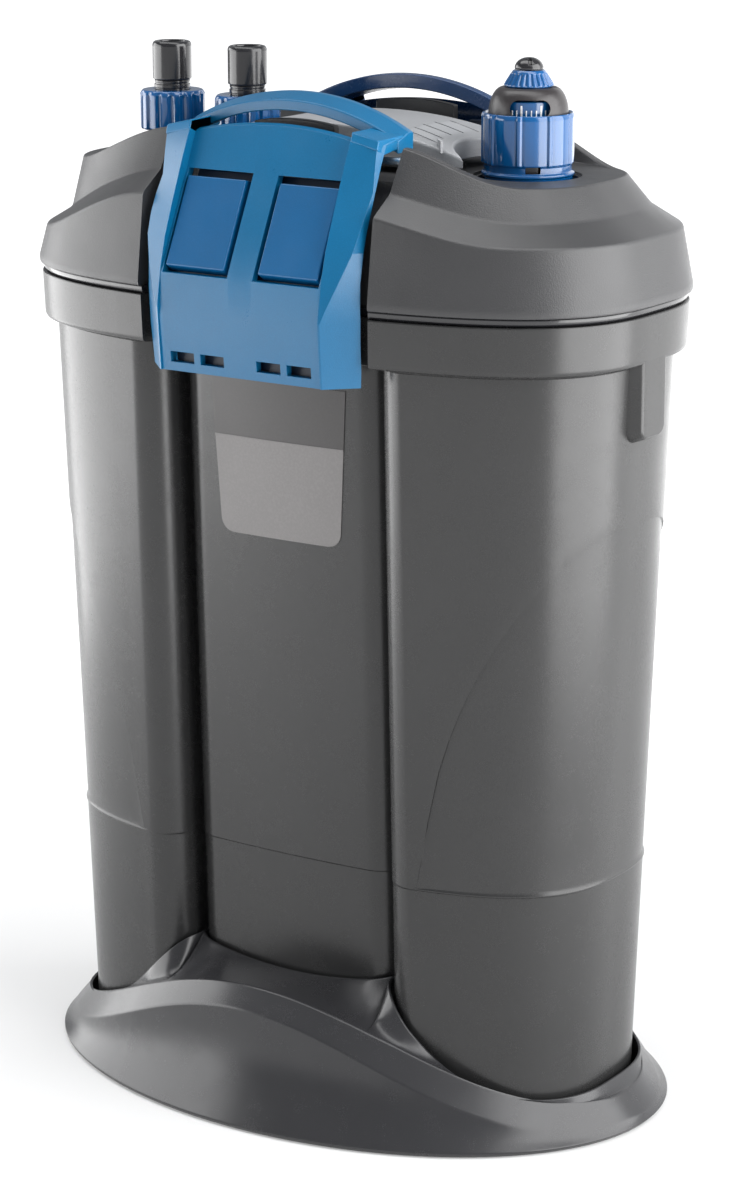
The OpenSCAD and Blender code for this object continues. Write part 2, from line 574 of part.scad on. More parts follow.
collar_lo = 416;
collar_hi = 442;
collar_ribs = 9;
module heater_collar() color(blue) translate([heater_x, 0, 0]) difference() {
    union() {
        translate([0, 0, collar_lo + 5]) cylinder(r = collar_r - 0.6, h = collar_hi - collar_lo - 5);
        translate([0, 0, collar_lo - 6]) cylinder(r = collar_r - 1, h = 11.1);
        translate([0, 0, collar_lo]) cylinder(r = collar_r - 0.2, h = 1.6);
        for (k = [0:collar_ribs - 1]) rotate([0, 0, window_turn + 8 + k * 360 / collar_ribs])
            translate([collar_r - 1.4, -0.9, collar_lo + 5]) cube([1.4, 1.8, collar_hi - collar_lo - 5]);
    }
    translate([0, 0, collar_lo - 7]) cylinder(r = dome_r + 0.5, h = 40);
    rotate([0, 0, window_turn + 4]) translate([10, -3.4, collar_lo + 2]) cube([14, 6.8, 3]);
}

glass_r = 11;
glass_lo = 140;
module heater_tube() color([0.8, 0.85, 0.88, 0.5]) translate([heater_x, 0, 0]) difference() {
    union() {
        translate([0, 0, glass_lo + glass_r]) cylinder(r = glass_r, h = 404 - glass_lo - glass_r);
        translate([0, 0, glass_lo + glass_r]) sphere(r = glass_r);
    }
    translate([0, 0, glass_lo + glass_r]) cylinder(r = glass_r - 1.3, h = 300);
    translate([0, 0, glass_lo + glass_r]) sphere(r = glass_r - 1.3);
}
module heater_element() color("ivory") translate([heater_x, 0, glass_lo + glass_r]) {
    cylinder(r = 5, h = 240);
    for (k = [0:11]) translate([0, 0, 12 + k * 10]) cylinder(r = 6.2, h = 4);
}
module heater_seal() color(black) translate([heater_x, 0, base_lo + 2]) difference() {
    cylinder(r = 13.4, h = 5);
    translate([0, 0, -1]) cylinder(r = glass_r, h = 7);
}

base_tray();
foot_pads();
canister();
label_plate();
rim_gasket();
lid();
head_base();
head_screws();
front_latch_cover();
front_latch_core();
front_latch_pin();
rear_latch_cover();
rear_latch_core();
rear_latch_pin();
primer_button();
primer_plunger();
primer_spring();
primer_cylinder();
inlet_spigot();
outlet_spigot();
inlet_oring();
outlet_oring();
inlet_tail();
outlet_tail();
inlet_nut();
outlet_nut();
motor_housing();
impeller();
impeller_shaft();
upper_bush();
lower_bush();
volute_cover();
outlet_duct();
riser_tube();
riser_foot();
tray_low();
tray_mid();
tray_top();
foam_low();
foam_mid();
foam_top();
tray_handle();
heater_socket();
heater_dome();
heater_dial();
heater_knob();
heater_cap();
heater_collar();
heater_tube();
heater_element();
heater_seal();
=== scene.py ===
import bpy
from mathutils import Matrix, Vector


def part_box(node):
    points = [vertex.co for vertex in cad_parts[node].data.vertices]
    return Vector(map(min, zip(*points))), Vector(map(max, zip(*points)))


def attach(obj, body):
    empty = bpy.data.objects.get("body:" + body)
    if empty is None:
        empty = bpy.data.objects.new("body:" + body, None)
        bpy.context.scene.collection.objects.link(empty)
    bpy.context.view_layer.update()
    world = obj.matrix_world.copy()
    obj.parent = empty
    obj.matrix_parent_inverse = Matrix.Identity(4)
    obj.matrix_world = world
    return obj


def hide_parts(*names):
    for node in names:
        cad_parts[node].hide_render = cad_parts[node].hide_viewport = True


bl_info = {
    "name": "Canister filter dressing",
    "version": (1, 0, 0),
    "blender": (4, 5, 0),
    "location": "View3D > Sidebar > Filter",
    "description": "Builds the moulded shells, latches and fittings of a canister filter around its frame",
    "category": "Object",
}

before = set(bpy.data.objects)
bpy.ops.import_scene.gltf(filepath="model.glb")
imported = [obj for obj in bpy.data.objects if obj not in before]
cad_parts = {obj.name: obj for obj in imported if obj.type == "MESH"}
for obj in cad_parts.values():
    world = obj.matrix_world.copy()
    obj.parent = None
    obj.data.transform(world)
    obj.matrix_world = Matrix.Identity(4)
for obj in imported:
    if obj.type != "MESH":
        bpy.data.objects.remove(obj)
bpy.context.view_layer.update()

import math

import bmesh
import bpy
import numpy as np
from mathutils import Matrix, Vector

MM = 0.001


def mid(node):
    lo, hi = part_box(node)
    return (lo + hi) / 2 / MM


def top_of(node):
    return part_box(node)[1].z / MM


def foot_of(node):
    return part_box(node)[0].z / MM


# ---------------------------------------------------------------- plan outlines (millimetres)
PLAN_N = 2.9
SKIRT_A = 151.0
SKIRT_B = 84.0
DRAFT = 0.0323
PANEL_SET = 13.3
SHOULDER_X, SHOULDER_R = 40.0, 14.0
CORNER_X, CORNER_R = 69.0, 14.0
RECESS_X = 58.5
NOTCH_X = 57.0
REF_A = SKIRT_A - 10
RIM_Z = 362.5
BAND_Z = 341.5
STEP_Z = 113.0
LID_Z = 366.2
DECK_Z = 415.5
LEFT_DECK_Z = 419.5


def ease(a, b, x):
    t = np.clip((x - a) / (b - a), 0, 1)
    return t * t * (3 - 2 * t)


def oval_y(x, a, b):
    """Height of the rounded-box outline above x."""
    return b * (1 - np.minimum(np.abs(x) / a, 1) ** PLAN_N) ** (1 / PLAN_N)


def inset_at(z):
    """How far the drafted wall stands inside the lid's skirt at height z."""
    return 7.4 + (334 - z) * DRAFT


PANEL_STEPS = 14
SHOULDER_STEPS = 12
GROOVE_STEPS = 6
ARC_STEPS = 16
END_STEPS = 40
END_TURN = 67.5


def wall_quarter(d, t=0.0):
    """One quarter of the wall's plan: bowed panel, shoulder, groove, round column."""
    a, b = SKIRT_A - d, SKIRT_B - d
    yp = b - PANEL_SET
    ys = yp - 1.3 - SHOULDER_R
    sr, cr = SHOULDER_R - t, CORNER_R - t
    cy = float(oval_y(CORNER_X, a, b)) - CORNER_R
    pts = []
    for i in range(PANEL_STEPS):
        x = SHOULDER_X * i / PANEL_STEPS
        pts.append((x, yp - 1.3 * (x / SHOULDER_X) ** 2 - t))
    for i in range(SHOULDER_STEPS):
        k = math.radians(88 - (88 - 17) * i / (SHOULDER_STEPS - 1))
        pts.append((SHOULDER_X + sr * math.cos(k), ys + sr * math.sin(k)))
    p0, p2 = Vector(pts[-1]), Vector((CORNER_X - cr, ys + 6.5))
    p1 = Vector((p2.x - 0.6, ys + 1.2 - t))
    for i in range(1, GROOVE_STEPS + 1):
        k = i / GROOVE_STEPS
        q = p0 * (1 - k) ** 2 + p1 * 2 * k * (1 - k) + p2 * k * k
        pts.append((q.x, q.y))
    for i in range(ARC_STEPS):
        k = math.radians(180 - 94 * i / (ARC_STEPS - 1))
        pts.append((CORNER_X + cr * math.cos(k), cy + cr * math.sin(k)))
    for i in range(END_STEPS):
        k = math.radians(END_TURN * (1 - (i + 0.6) / (END_STEPS - 0.4)) ** 1.5)
        pts.append(((a - t) * math.cos(k) ** (2 / PLAN_N), (b - t) * math.sin(k) ** (2 / PLAN_N)))
    pts[-1] = (a - t, 0.0)
    return np.array(pts)


BASE_Q = wall_quarter(10)
QN = len(BASE_Q) - 1
NOTCH_I = PANEL_STEPS + SHOULDER_STEPS + GROOVE_STEPS - 2


def notch_xs(a, xn, p):
    """x of each outline point once the latch notch of half width xn is cut."""
    i = np.arange(QN + 1)
    flat = p * xn / BASE_Q[NOTCH_I, 0]
    open_x = np.maximum(xn + 0.3 + (i - NOTCH_I - 1) * 0.22, p * a / REF_A)
    return np.where(i <= NOTCH_I, flat, np.minimum(open_x, a))


def notch_quarter(d, yn, xn):
    a, b = SKIRT_A - d, SKIRT_B - d
    x = notch_xs(a, xn, BASE_Q[:, 0])
    y = np.where(np.arange(QN + 1) <= NOTCH_I, yn, oval_y(x, a, b))
    return np.stack([x, y], 1)


TRAY_A, TRAY_B = 153.0, 106.0
BOW_A = 150.0


def tray_quarter(e, f=None):
    """The tray's ellipse, inset e at the ends and f at the sides."""
    a, b = TRAY_A - e, TRAY_B - (e if f is None else f)
    x = BASE_Q[:, 0] + (a - REF_A) * (BASE_Q[:, 0] / REF_A) ** 4
    return np.stack([x, b * np.sqrt(np.maximum(0, 1 - (x / a) ** 2))], 1)


def ring(q, z):
    """Four quarters make a closed ring; z is a number or a function of x and y."""
    xs = np.concatenate([q[:, 0], q[-2::-1, 0], -q[1:, 0], -q[-2:0:-1, 0]])
    ys = np.concatenate([-q[:, 1], q[-2::-1, 1], q[1:, 1], -q[-2:0:-1, 1]])
    zs = z(xs, ys) if callable(z) else np.full(len(xs), float(z))
    return np.stack([xs, ys, zs], 1)


def bow(x, power):
    """Falls from 1 at the middle of the tray to 0 at its ends."""
    return np.abs(np.cos(np.pi / 2 * np.minimum(np.abs(x), BOW_A - 0.1) / BOW_A)) ** power


EAR_X = 52
EDGE_MID, EAR_RISE = 58.6, 6.0
EDGE_END, EAR_FALL, EAR_WIDTH, EAR_POWER = 18, 46.6, 32.2, 1.45


def deck_edge(x):
    """Height of the tray's inner edge: low at the ends, with an ear in each groove."""
    x = np.abs(x)
    beside = EDGE_MID + EAR_RISE * (x / EAR_X) ** 2
    beyond = EDGE_END + EAR_FALL * np.exp(-(np.maximum(x - EAR_X, 0) / EAR_WIDTH) ** EAR_POWER)
    return np.where(x < EAR_X, beside, beyond)


# ---------------------------------------------------------------- mesh tools
def soften(rings, radii, steps=4):
    """Rounds the edge at each ring by its radius, so that it catches the light."""
    out = [rings[0]]
    for i in range(1, len(rings) - 1):
        r = radii[i]
        if not r:
            out.append(rings[i])
            continue
        here = rings[i]
        legs = []
        for other in (rings[i - 1], rings[i + 1]):
            v = other - here
            length = np.maximum(np.linalg.norm(v, axis=1, keepdims=True), 1e-6)
            legs.append(here + v / length * np.minimum(r, length * 0.45))
        for k in range(steps + 1):
            t = k / steps
            out.append(legs[0] * (1 - t) ** 2 + here * 2 * t * (1 - t) + legs[1] * t * t)
    out.append(rings[-1])
    return out


def make_object(name, verts, faces, sharp=38, weighted=True):
    mesh = bpy.data.meshes.new(name)
    mesh.from_pydata([tuple(v) for v in np.asarray(verts) * MM], [], faces)
    mesh.validate()
    obj = bpy.data.objects.new(name, mesh)
    bpy.context.scene.collection.objects.link(obj)
    clean(obj)
    shade(obj, sharp, weighted)
    return obj


WELD_GAP = 0.00001


def clean(obj):
    bm = bmesh.new()
    bm.from_mesh(obj.data)
    bmesh.ops.remove_doubles(bm, verts=bm.verts, dist=WELD_GAP)
    bmesh.ops.dissolve_degenerate(bm, edges=bm.edges, dist=WELD_GAP)
    bmesh.ops.recalc_face_normals(bm, faces=bm.faces)
    bm.to_mesh(obj.data)
    bm.free()


def shade(obj, sharp=38, weighted=True):
    obj.data.polygons.foreach_set("use_smooth", [True] * len(obj.data.polygons))
    obj.data.set_sharp_from_angle(angle=math.radians(sharp))
    if weighted:
        m = obj.modifiers.new("even normals", "WEIGHTED_NORMAL")
        m.keep_sharp = True
        m.weight = 80


def skin(name, rings, caps=(True, True), sharp=38, weighted=True):
    """A closed or open shell through rings of equal length."""
    n = len(rings[0])
    verts = np.concatenate(rings)
    faces = []
    for j in range(len(rings) - 1):
        p, q = j * n, (j + 1) * n
        for i in range(n):
            k = (i + 1) % n
            faces.append((p + i, p + k, q + k, q + i))
    last = (len(rings) - 1) * n
    if caps[0]:
        faces.append(tuple(range(n - 1, -1, -1)))
    if caps[1]:
        faces.append(tuple(last + i for i in range(n)))
    return make_object(name, verts, faces, sharp, weighted)


def turned(name, profile, steps=96, at=(0, 0), radii=None, wobble=None, sharp=38):
    """A shape turned about the upright axis from [radius, z] points; wobble(angle, r, z) changes r."""
    ang = np.linspace(0, 2 * np.pi, steps, endpoint=False)
    rows = []
    for r, z in profile:
        rr = np.full(steps, float(r)) if wobble is None else wobble(ang, r, z)
        x, y = at[0] + rr * np.cos(ang), at[1] + rr * np.sin(ang)
        rows.append(np.stack([x, y, np.full(steps, float(z))], 1))
    if radii:
        rows = soften(rows, radii)
    return skin(name, rows, caps=(profile[0][0] > 1e-6, profile[-1][0] > 1e-6), sharp=sharp)


def extrude_x(name, outline, x0, x1, bevel=0.5, segments=3, sharp=30):
    """A bar along X with a [y, z] outline and rounded edges."""
    n = len(outline)
    verts = [(x0, y, z) for y, z in outline] + [(x1, y, z) for y, z in outline]
    faces = [tuple(range(n)), tuple(range(2 * n - 1, n - 1, -1))]
    faces += [(i, i + n, (i + 1) % n + n, (i + 1) % n) for i in range(n)]
    obj = make_object(name, verts, faces, sharp, False)
    if bevel:
        round_edges(obj, bevel, segments)
    return obj


def block(name, centre, size, turn=0.0):
    """A cutter block; size is full width, depth and height."""
    sx, sy, sz = (s / 2 for s in size)
    verts = []
    for x in (-sx, sx):
        for y in (-sy, sy):
            for z in (-sz, sz):
                c, s = math.cos(turn), math.sin(turn)
                verts.append((centre[0] + x * c - y * s, centre[1] + x * s + y * c, centre[2] + z))
    faces = [(0, 1, 3, 2), (4, 6, 7, 5), (0, 4, 5, 1), (2, 3, 7, 6), (0, 2, 6, 4), (1, 5, 7, 3)]
    return make_object(name, verts, faces, 30, False)


def round_edges(obj, width, segments=3, angle=28):
    m = obj.modifiers.new("rounded edges", "BEVEL")
    m.width = width * MM
    m.segments = segments
    m.limit_method = "ANGLE"
    m.angle_limit = math.radians(angle)
    m.harden_normals = False
    m.use_clamp_overlap = True


def settle(obj):
    """Bakes an object's modifiers into its mesh."""
    bpy.context.view_layer.update()
    deps = bpy.context.evaluated_depsgraph_get()
    mesh = bpy.data.meshes.new_from_object(obj.evaluated_get(deps))
    old = obj.data
    obj.modifiers.clear()
    obj.data = mesh
    bpy.data.meshes.remove(old)
    mesh.name = obj.name
    return obj


def combine(obj, cutters):
    """Cuts the cutters out of obj and bakes the result."""
    for i, cutter in enumerate(cutters):
        m = obj.modifiers.new("cut %d" % i, "BOOLEAN")
        m.operation = "DIFFERENCE"
        m.solver = "EXACT"
        m.object = cutter
    settle(obj)
    for cutter in cutters:
        bpy.data.objects.remove(cutter)
    clean(obj)
    shade(obj, 32)
    return obj


def join(name, parts, sharp=38, weighted=True):
    """One object from several meshes."""
    bm = bmesh.new()
    for p in parts:
        settle(p)
        bm.from_mesh(p.data)
    mesh = bpy.data.meshes.new(name)
    bm.to_mesh(mesh)
    bm.free()
    for p in parts:
        bpy.data.objects.remove(p)
    obj = bpy.data.objects.new(name, mesh)
    bpy.context.scene.collection.objects.link(obj)
    shade(obj, sharp, weighted)
    return obj


def mirrored(obj, name):
    """The same piece on the rear side, with the front and rear swapped."""
    settle(obj)
    mesh = obj.data.copy()
    mesh.transform(Matrix.Scale(-1, 4, (0, 1, 0)))
    mesh.flip_normals()
    mesh.name = name
    twin = bpy.data.objects.new(name, mesh)
    bpy.context.scene.collection.objects.link(twin)
    shade(twin, 32)
    return twin


def dress(obj, body, material, *nodes, slot=None):
    """Gives a piece its finish, its body and the frame nodes it stands for."""
    obj.data.materials.clear()
    obj.data.materials.append(material)
    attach(obj, body)
    if nodes:
        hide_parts(*nodes)
    return obj


# ---------------------------------------------------------------- finishes
def shade_of(color, factor):
    return tuple(min(1.0, c * factor) for c in color[:3]) + (1.0,)


class Finish:
    """Small helper that wires up one material's nodes."""

    def __init__(self, name):
        self.material = bpy.data.materials.new(name)
        self.material.use_nodes = True
        self.tree = self.material.node_tree
        self.nodes = self.tree.nodes
        self.shader = self.nodes["Principled BSDF"]
        self.place = self.nodes.new("ShaderNodeTexCoord").outputs["Object"]

    def link(self, a, b):
        self.tree.links.new(a, b)

    def noise(self, scale, detail=3.0, rough=0.55, stretch=None):
        source = self.place
        if stretch:
            m = self.nodes.new("ShaderNodeMapping")
            m.inputs["Scale"].default_value = stretch
            self.link(source, m.inputs["Vector"])
            source = m.outputs["Vector"]
        n = self.nodes.new("ShaderNodeTexNoise")
        n.inputs["Scale"].default_value = scale
        n.inputs["Detail"].default_value = detail
        n.inputs["Roughness"].default_value = rough
        self.link(source, n.inputs["Vector"])
        return n.outputs["Fac"]

    def cells(self, scale):
        n = self.nodes.new("ShaderNodeTexVoronoi")
        n.inputs["Scale"].default_value = scale
        self.link(self.place, n.inputs["Vector"])
        return n.outputs["Distance"]

    def ramp(self, source, low, high, a, b):
        r = self.nodes.new("ShaderNodeMapRange")
        r.inputs["From Min"].default_value = a
        r.inputs["From Max"].default_value = b
        r.inputs["To Min"].default_value = low
        r.inputs["To Max"].default_value = high
        self.link(source, r.inputs["Value"])
        return r.outputs["Result"]

    def blend(self, fac, one, two):
        m = self.nodes.new("ShaderNodeMix")
        m.data_type = "RGBA"
        self.link(fac, m.inputs["Factor"])
        for socket, value in (("A", one), ("B", two)):
            target = [s for s in m.inputs if s.name == socket and s.type == "RGBA"][0]
            if isinstance(value, bpy.types.NodeSocket):
                self.link(value, target)
            else:
                target.default_value = value
        return [s for s in m.outputs if s.type == "RGBA"][0]

    def add(self, a, b, how="ADD"):
        m = self.nodes.new("ShaderNodeMath")
        m.operation = how
        for i, v in enumerate((a, b)):
            if isinstance(v, bpy.types.NodeSocket):
                self.link(v, m.inputs[i])
            else:
                m.inputs[i].default_value = v
        return m.outputs["Value"]

    def bump(self, height, depth, strength=1.0):
        b = self.nodes.new("ShaderNodeBump")
        b.inputs["Strength"].default_value = strength
        b.inputs["Distance"].default_value = depth
        self.link(height, b.inputs["Height"])
        self.link(b.outputs["Normal"], self.shader.inputs["Normal"])

    def painted_edge_highlight(self):
        """Mask of the outer edges, where the finishes paint a lighter edge highlight."""
        g = self.nodes.new("ShaderNodeNewGeometry")
        return self.ramp(g.outputs["Pointiness"], 0.0, 1.0, 0.52, 0.62)

    def set(self, **values):
        for key, value in values.items():
            self.shader.inputs[key.replace("_", " ")].default_value = value


def moulded(name, color, rough, grain=0.00006, grain_scale=900, mottle=0.10, rough_spread=0.05,
            edge=0.25, streak=0.0, specular=0.5, coat=0.0):
    """Injection-moulded plastic: eroded grain, faint mottling, outer edges lightened as a painted highlight.
    """
    f = Finish(name)
    cloud = f.noise(26, 4, 0.6)
    fine = f.noise(grain_scale, 2, 0.6)
    base = f.blend(f.ramp(cloud, 0, 1, 0.3, 0.7), shade_of(color, 1 - mottle), shade_of(color, 1 + mottle))
    base = f.blend(f.ramp(fine, 0, 0.35, 0.42, 0.68), base, shade_of(color, 1.35))
    if streak:
        flow = f.noise(60, 3, 0.5, stretch=(1, 1, 0.03))
        base = f.blend(f.ramp(flow, 0, streak, 0.4, 0.7), base, shade_of(color, 1.5))
    # Outer edges are lightened towards twice the colour: a painted highlight.
    base = f.blend(f.add(f.painted_edge_highlight(), edge, "MULTIPLY"), base, shade_of(color, 2.0))
    f.link(base, f.shader.inputs["Base Color"])
    haze = f.noise(70, 3, 0.55)
    mixed = f.add(f.add(haze, 0.6, "MULTIPLY"), f.add(fine, 0.4, "MULTIPLY"))
    f.link(f.ramp(mixed, rough - rough_spread, rough + rough_spread, 0.3, 0.7), f.shader.inputs["Roughness"])
    f.set(Specular_IOR_Level=specular)
    if coat:
        f.set(Coat_Weight=coat, Coat_Roughness=0.12)
    if grain:
        pits = f.cells(grain_scale * 0.9)
        f.bump(f.add(f.add(fine, 0.7, "MULTIPLY"), f.add(pits, 0.5, "MULTIPLY")), grain)
    return f.material


def polished(name, color, rough=0.12, mottle=0.05, coat=0.6, specular=0.5):
    """Gloss plastic with a faint flow unevenness and fine hairlines."""
    f = Finish(name)
    cloud = f.noise(40, 3, 0.5)
    base = f.blend(f.ramp(cloud, 0, 1, 0.3, 0.7), shade_of(color, 1 - mottle), shade_of(color, 1 + mottle))
    # Outer edges are lightened towards 1.6 times the colour: a painted highlight.
    base = f.blend(f.add(f.painted_edge_highlight(), 0.15, "MULTIPLY"), base, shade_of(color, 1.6))
    f.link(base, f.shader.inputs["Base Color"])
    hair = f.noise(500, 2, 0.5, stretch=(1, 1, 0.05))
    f.link(f.ramp(f.add(hair, cloud), rough * 0.7, rough * 1.5, 0.7, 1.3), f.shader.inputs["Roughness"])
    f.set(Specular_IOR_Level=specular, Coat_Weight=coat, Coat_Roughness=0.05)
    f.bump(f.noise(90, 2, 0.4), 0.00004, 0.5)
    return f.material


def brushed(name, color, rough=0.32):
    f = Finish(name)
    lines = f.noise(900, 3, 0.6, stretch=(1, 1, 12))
    base = f.blend(f.ramp(lines, 0, 1, 0.35, 0.65), shade_of(color, 0.8), shade_of(color, 1.1))
    f.link(base, f.shader.inputs["Base Color"])
    f.link(f.ramp(lines, rough * 0.8, rough * 1.3, 0.3, 0.7), f.shader.inputs["Roughness"])
    f.set(Metallic=1.0)
    f.bump(lines, 0.00003)
    return f.material


def foam(name, color, pore=420):
    f = Finish(name)
    holes = f.cells(pore)
    tint = f.noise(60, 4, 0.6)
    # Pore centres are darkened to about a third of the colour: painted shade in the pores.
    base = f.blend(f.ramp(holes, 0, 1, 0.1, 0.6), shade_of(color, 0.35), shade_of(color, 1.15))
    base = f.blend(f.ramp(tint, 0, 0.4, 0.4, 0.7), base, shade_of(color, 0.7))
    f.link(base, f.shader.inputs["Base Color"])
    f.link(f.ramp(holes, 1.0, 0.75, 0.1, 0.6), f.shader.inputs["Roughness"])
    f.set(Sheen_Weight=0.3, Specular_IOR_Level=0.2)
    f.bump(f.add(holes, f.noise(pore * 1.7, 2, 0.5)), 0.0009)
    return f.material


def clear(name):
    f = Finish(name)
    streak = f.noise(50, 2, 0.5)
    f.link(f.ramp(streak, 0.02, 0.07, 0.3, 0.7), f.shader.inputs["Roughness"])
    f.link(f.blend(streak, (0.9, 0.95, 0.96, 1), (0.84, 0.92, 0.94, 1)), f.shader.inputs["Base Color"])
    f.set(Transmission_Weight=1.0, IOR=1.47)
    f.bump(f.noise(120, 2, 0.5), 0.00002, 0.4)
    return f.material


FINISHES = {}


def finish(name):
    """The named finish, made once from the colours in the settings."""
    if name in FINISHES:
        return FINISHES[name]
    s = bpy.context.scene.filter_colors
    makers = {
        "lid": lambda: moulded("lid_grey", s.lid, 0.40, grain=0.00008, grain_scale=1700, mottle=0.07,
                               edge=0.35),
        # Smoother finish for the cove; its darker grey is painted shade.
        "smooth_cove_painted_shade": lambda: moulded("ledge_grey", s.smooth_cove_painted_shade, 0.38, grain=0.00003, grain_scale=2000, mottle=0.05),
        "body": lambda: moulded("body_grey", s.body, 0.26, grain=0.00003, grain_scale=2200, mottle=0.08,
                                streak=0.10, edge=0.5),
        "base": lambda: moulded("base_grey", s.base, 0.25, grain=0.00002, grain_scale=2200, mottle=0.08,
                                edge=0.4),
        "latch": lambda: moulded("latch_blue", s.latch, 0.32, grain=0.00004, grain_scale=2000, mottle=0.05,
                                 edge=0.55),
        "pad": lambda: moulded("pad_blue", s.pad, 0.34, grain=0.00003, grain_scale=2000, mottle=0.08,
                               edge=0.4),
        # Near-black lever colour is painted shade, so the lever seen through the panel's slots reads as
        # shadow.
        "lever": lambda: moulded("lever_blue", (0.0005, 0.008, 0.024, 1), 0.4, grain=0.0, mottle=0.05,
                                 edge=0.2),
        # Same blue plastic as the front latch; this darker copy is painted shade.
        "rear_latch": lambda: moulded("rear_latch_blue", s.rear_latch, 0.26, grain=0.00003, mottle=0.08,
                                      edge=0.5, coat=0.25),
        "gloss_blue": lambda: polished("gloss_blue", s.gloss_blue, 0.14),
        "button": lambda: moulded("button_grey", s.button, 0.40, grain=0.00004, grain_scale=1800, mottle=0.04,
                                  edge=0.4),
        "gloss_black": lambda: polished("gloss_black", s.black, 0.2, coat=0.3),
        "seal": lambda: polished("seal_black", (0.012, 0.012, 0.014, 1), 0.2, coat=0.4),
        "dome": lambda: moulded("dome_grey", s.dome, 0.34, grain=0.00004, mottle=0.1, edge=0.3),
        "label_dark": lambda: moulded("label_film_dark", s.label_dark, 0.34, grain=0.0, mottle=0.03,
                                      edge=0.0),
        "label_light": lambda: moulded("label_film_light", s.label_light, 0.4, grain=0.00002, mottle=0.03,
                                       edge=0.0),
        "inner": lambda: moulded("inner_grey", (0.06, 0.06, 0.065, 1), 0.5, mottle=0.12),
        "steel": lambda: brushed("steel", (0.6, 0.6, 0.6, 1)),
        "ceramic": lambda: moulded("ceramic", (0.75, 0.74, 0.69, 1), 0.6, mottle=0.06, edge=0.0),
        "rotor": lambda: polished("rotor_white", (0.62, 0.63, 0.66, 1), 0.25, coat=0.2),
        "clear": lambda: clear("clear_tube"),
        "foam_blue": lambda: foam("foam_blue", (0.03, 0.12, 0.38, 1)),
        "foam_dark": lambda: foam("foam_dark", (0.035, 0.035, 0.04, 1), 520),
        "fleece": lambda: foam("fleece_white", (0.7, 0.7, 0.67, 1), 900),
        "mark": lambda: moulded("dial_mark", (0.8, 0.82, 0.85, 1), 0.35, grain=0.00002, mottle=0.03,
                                edge=0.0),
    }
    FINISHES[name] = makers[name]()
    return FINISHES[name]


def color_prop(name, description, value):
    return bpy.props.FloatVectorProperty(name=name, description=description, subtype="COLOR", size=4,
                                         min=0.0, max=1.0, default=value)


def length_prop(name, description, value, low=0.0, high=1.0):
    return bpy.props.FloatProperty(name=name, description=description, subtype="DISTANCE", unit="LENGTH",
                                   default=value, min=low, max=high, precision=4)


class FilterColors(bpy.types.PropertyGroup):
    """Colours of the moulded parts."""

    lid: color_prop("Lid", "Grey of the lid's eroded plastic", (0.038, 0.038, 0.0395, 1))
    # The cove's darker grey is painted shade on top of its smoother finish.
    smooth_cove_painted_shade: color_prop("Ledge", "Darker satin grey of the lid's cove", (0.035, 0.035, 0.0365, 1))
    body: color_prop("Canister", "Satin grey of the canister", (0.021, 0.021, 0.0212, 1))
    base: color_prop("Base tray", "Charcoal of the base tray", (0.025, 0.025, 0.0270, 1))
    latch: color_prop("Latch", "Blue of the front latch and hoop", (0.0005, 0.098, 0.220, 1))
    pad: color_prop("Latch pads", "Deeper blue of the pads in the windows", (0.0005, 0.070, 0.185, 1))
    # A darker copy of the latch blue for the rear latch: painted shade.
    rear_latch: color_prop("Rear latch", "Deep blue of the rear latch", (0.0005, 0.024, 0.085, 1))
    gloss_blue: color_prop("Gloss blue", "Polished blue of nuts, collar and knob", (0.0005, 0.068, 0.215, 1))
    button: color_prop("Primer button", "Light grey of the primer button", (0.270, 0.275, 0.285, 1))
    black: color_prop("Gloss black", "Polished black of the hose tails", (0.012, 0.012, 0.014, 1))
    dome: color_prop("Heater dome", "Dark grey of the heater's dome", (0.022, 0.019, 0.020, 1))
    label_dark: color_prop("Label top", "Dark part of the plain label", (0.040, 0.037, 0.037, 1))
    label_light: color_prop("Label foot", "Light part of the plain label", (0.160, 0.152, 0.150, 1))


class FilterSizes(bpy.types.PropertyGroup):
    """Sizes that may be changed without leaving the frame."""

    edge: length_prop("Edge radius", "Rounding of the lid's moulded edges", 0.0008, 0.0002, 0.002)
    latch_edge: length_prop("Latch edge radius", "Rounding of the latch's edges", 0.0006, 0.0002, 0.0015)
    swoosh: length_prop("Swoosh depth", "How far the column steps back under its curved line", 0.0007, 0.0,
                        0.002)
    step: length_prop("Step depth", "How far the foot of the wall steps back", 0.0005, 0.0, 0.002)
    flutes: bpy.props.IntProperty(name="Nut flutes", description="Grip flutes round each union nut",
                                  default=16, min=8, max=24)
    collar_ribs: bpy.props.IntProperty(name="Collar ribs", description="Ribs round the heater's collar",
                                       default=9, min=5, max=16)
    knob_flutes: bpy.props.IntProperty(name="Knob flutes", description="Grooves round the thermostat knob",
                                       default=24, min=12, max=36)


def sizes():
    return bpy.context.scene.filter_sizes


class PieceOperator:
    """Shared settings of the building operators."""

    bl_options = {"REGISTER", "UNDO"}

    def execute(self, context):
        self.build(context)
        return {"FINISHED"}


# ---------------------------------------------------------------- base tray
POCKET_GAP, RIM_GAP, RIM_WIDTH = 1.2, 3.4, 1.2
# inset at the ends, inset at the sides, height at the ends, rise to the middle, power of the bow
RIBBON_LOW = (2.0, 13.8, 5.6, 45.4, 1.85)
RIBBON_TOP = (10.0, 21.9, 14.0, 45.5, 1.65)
DECK_SAG, FLARE_PULL = 0.8, 3.4


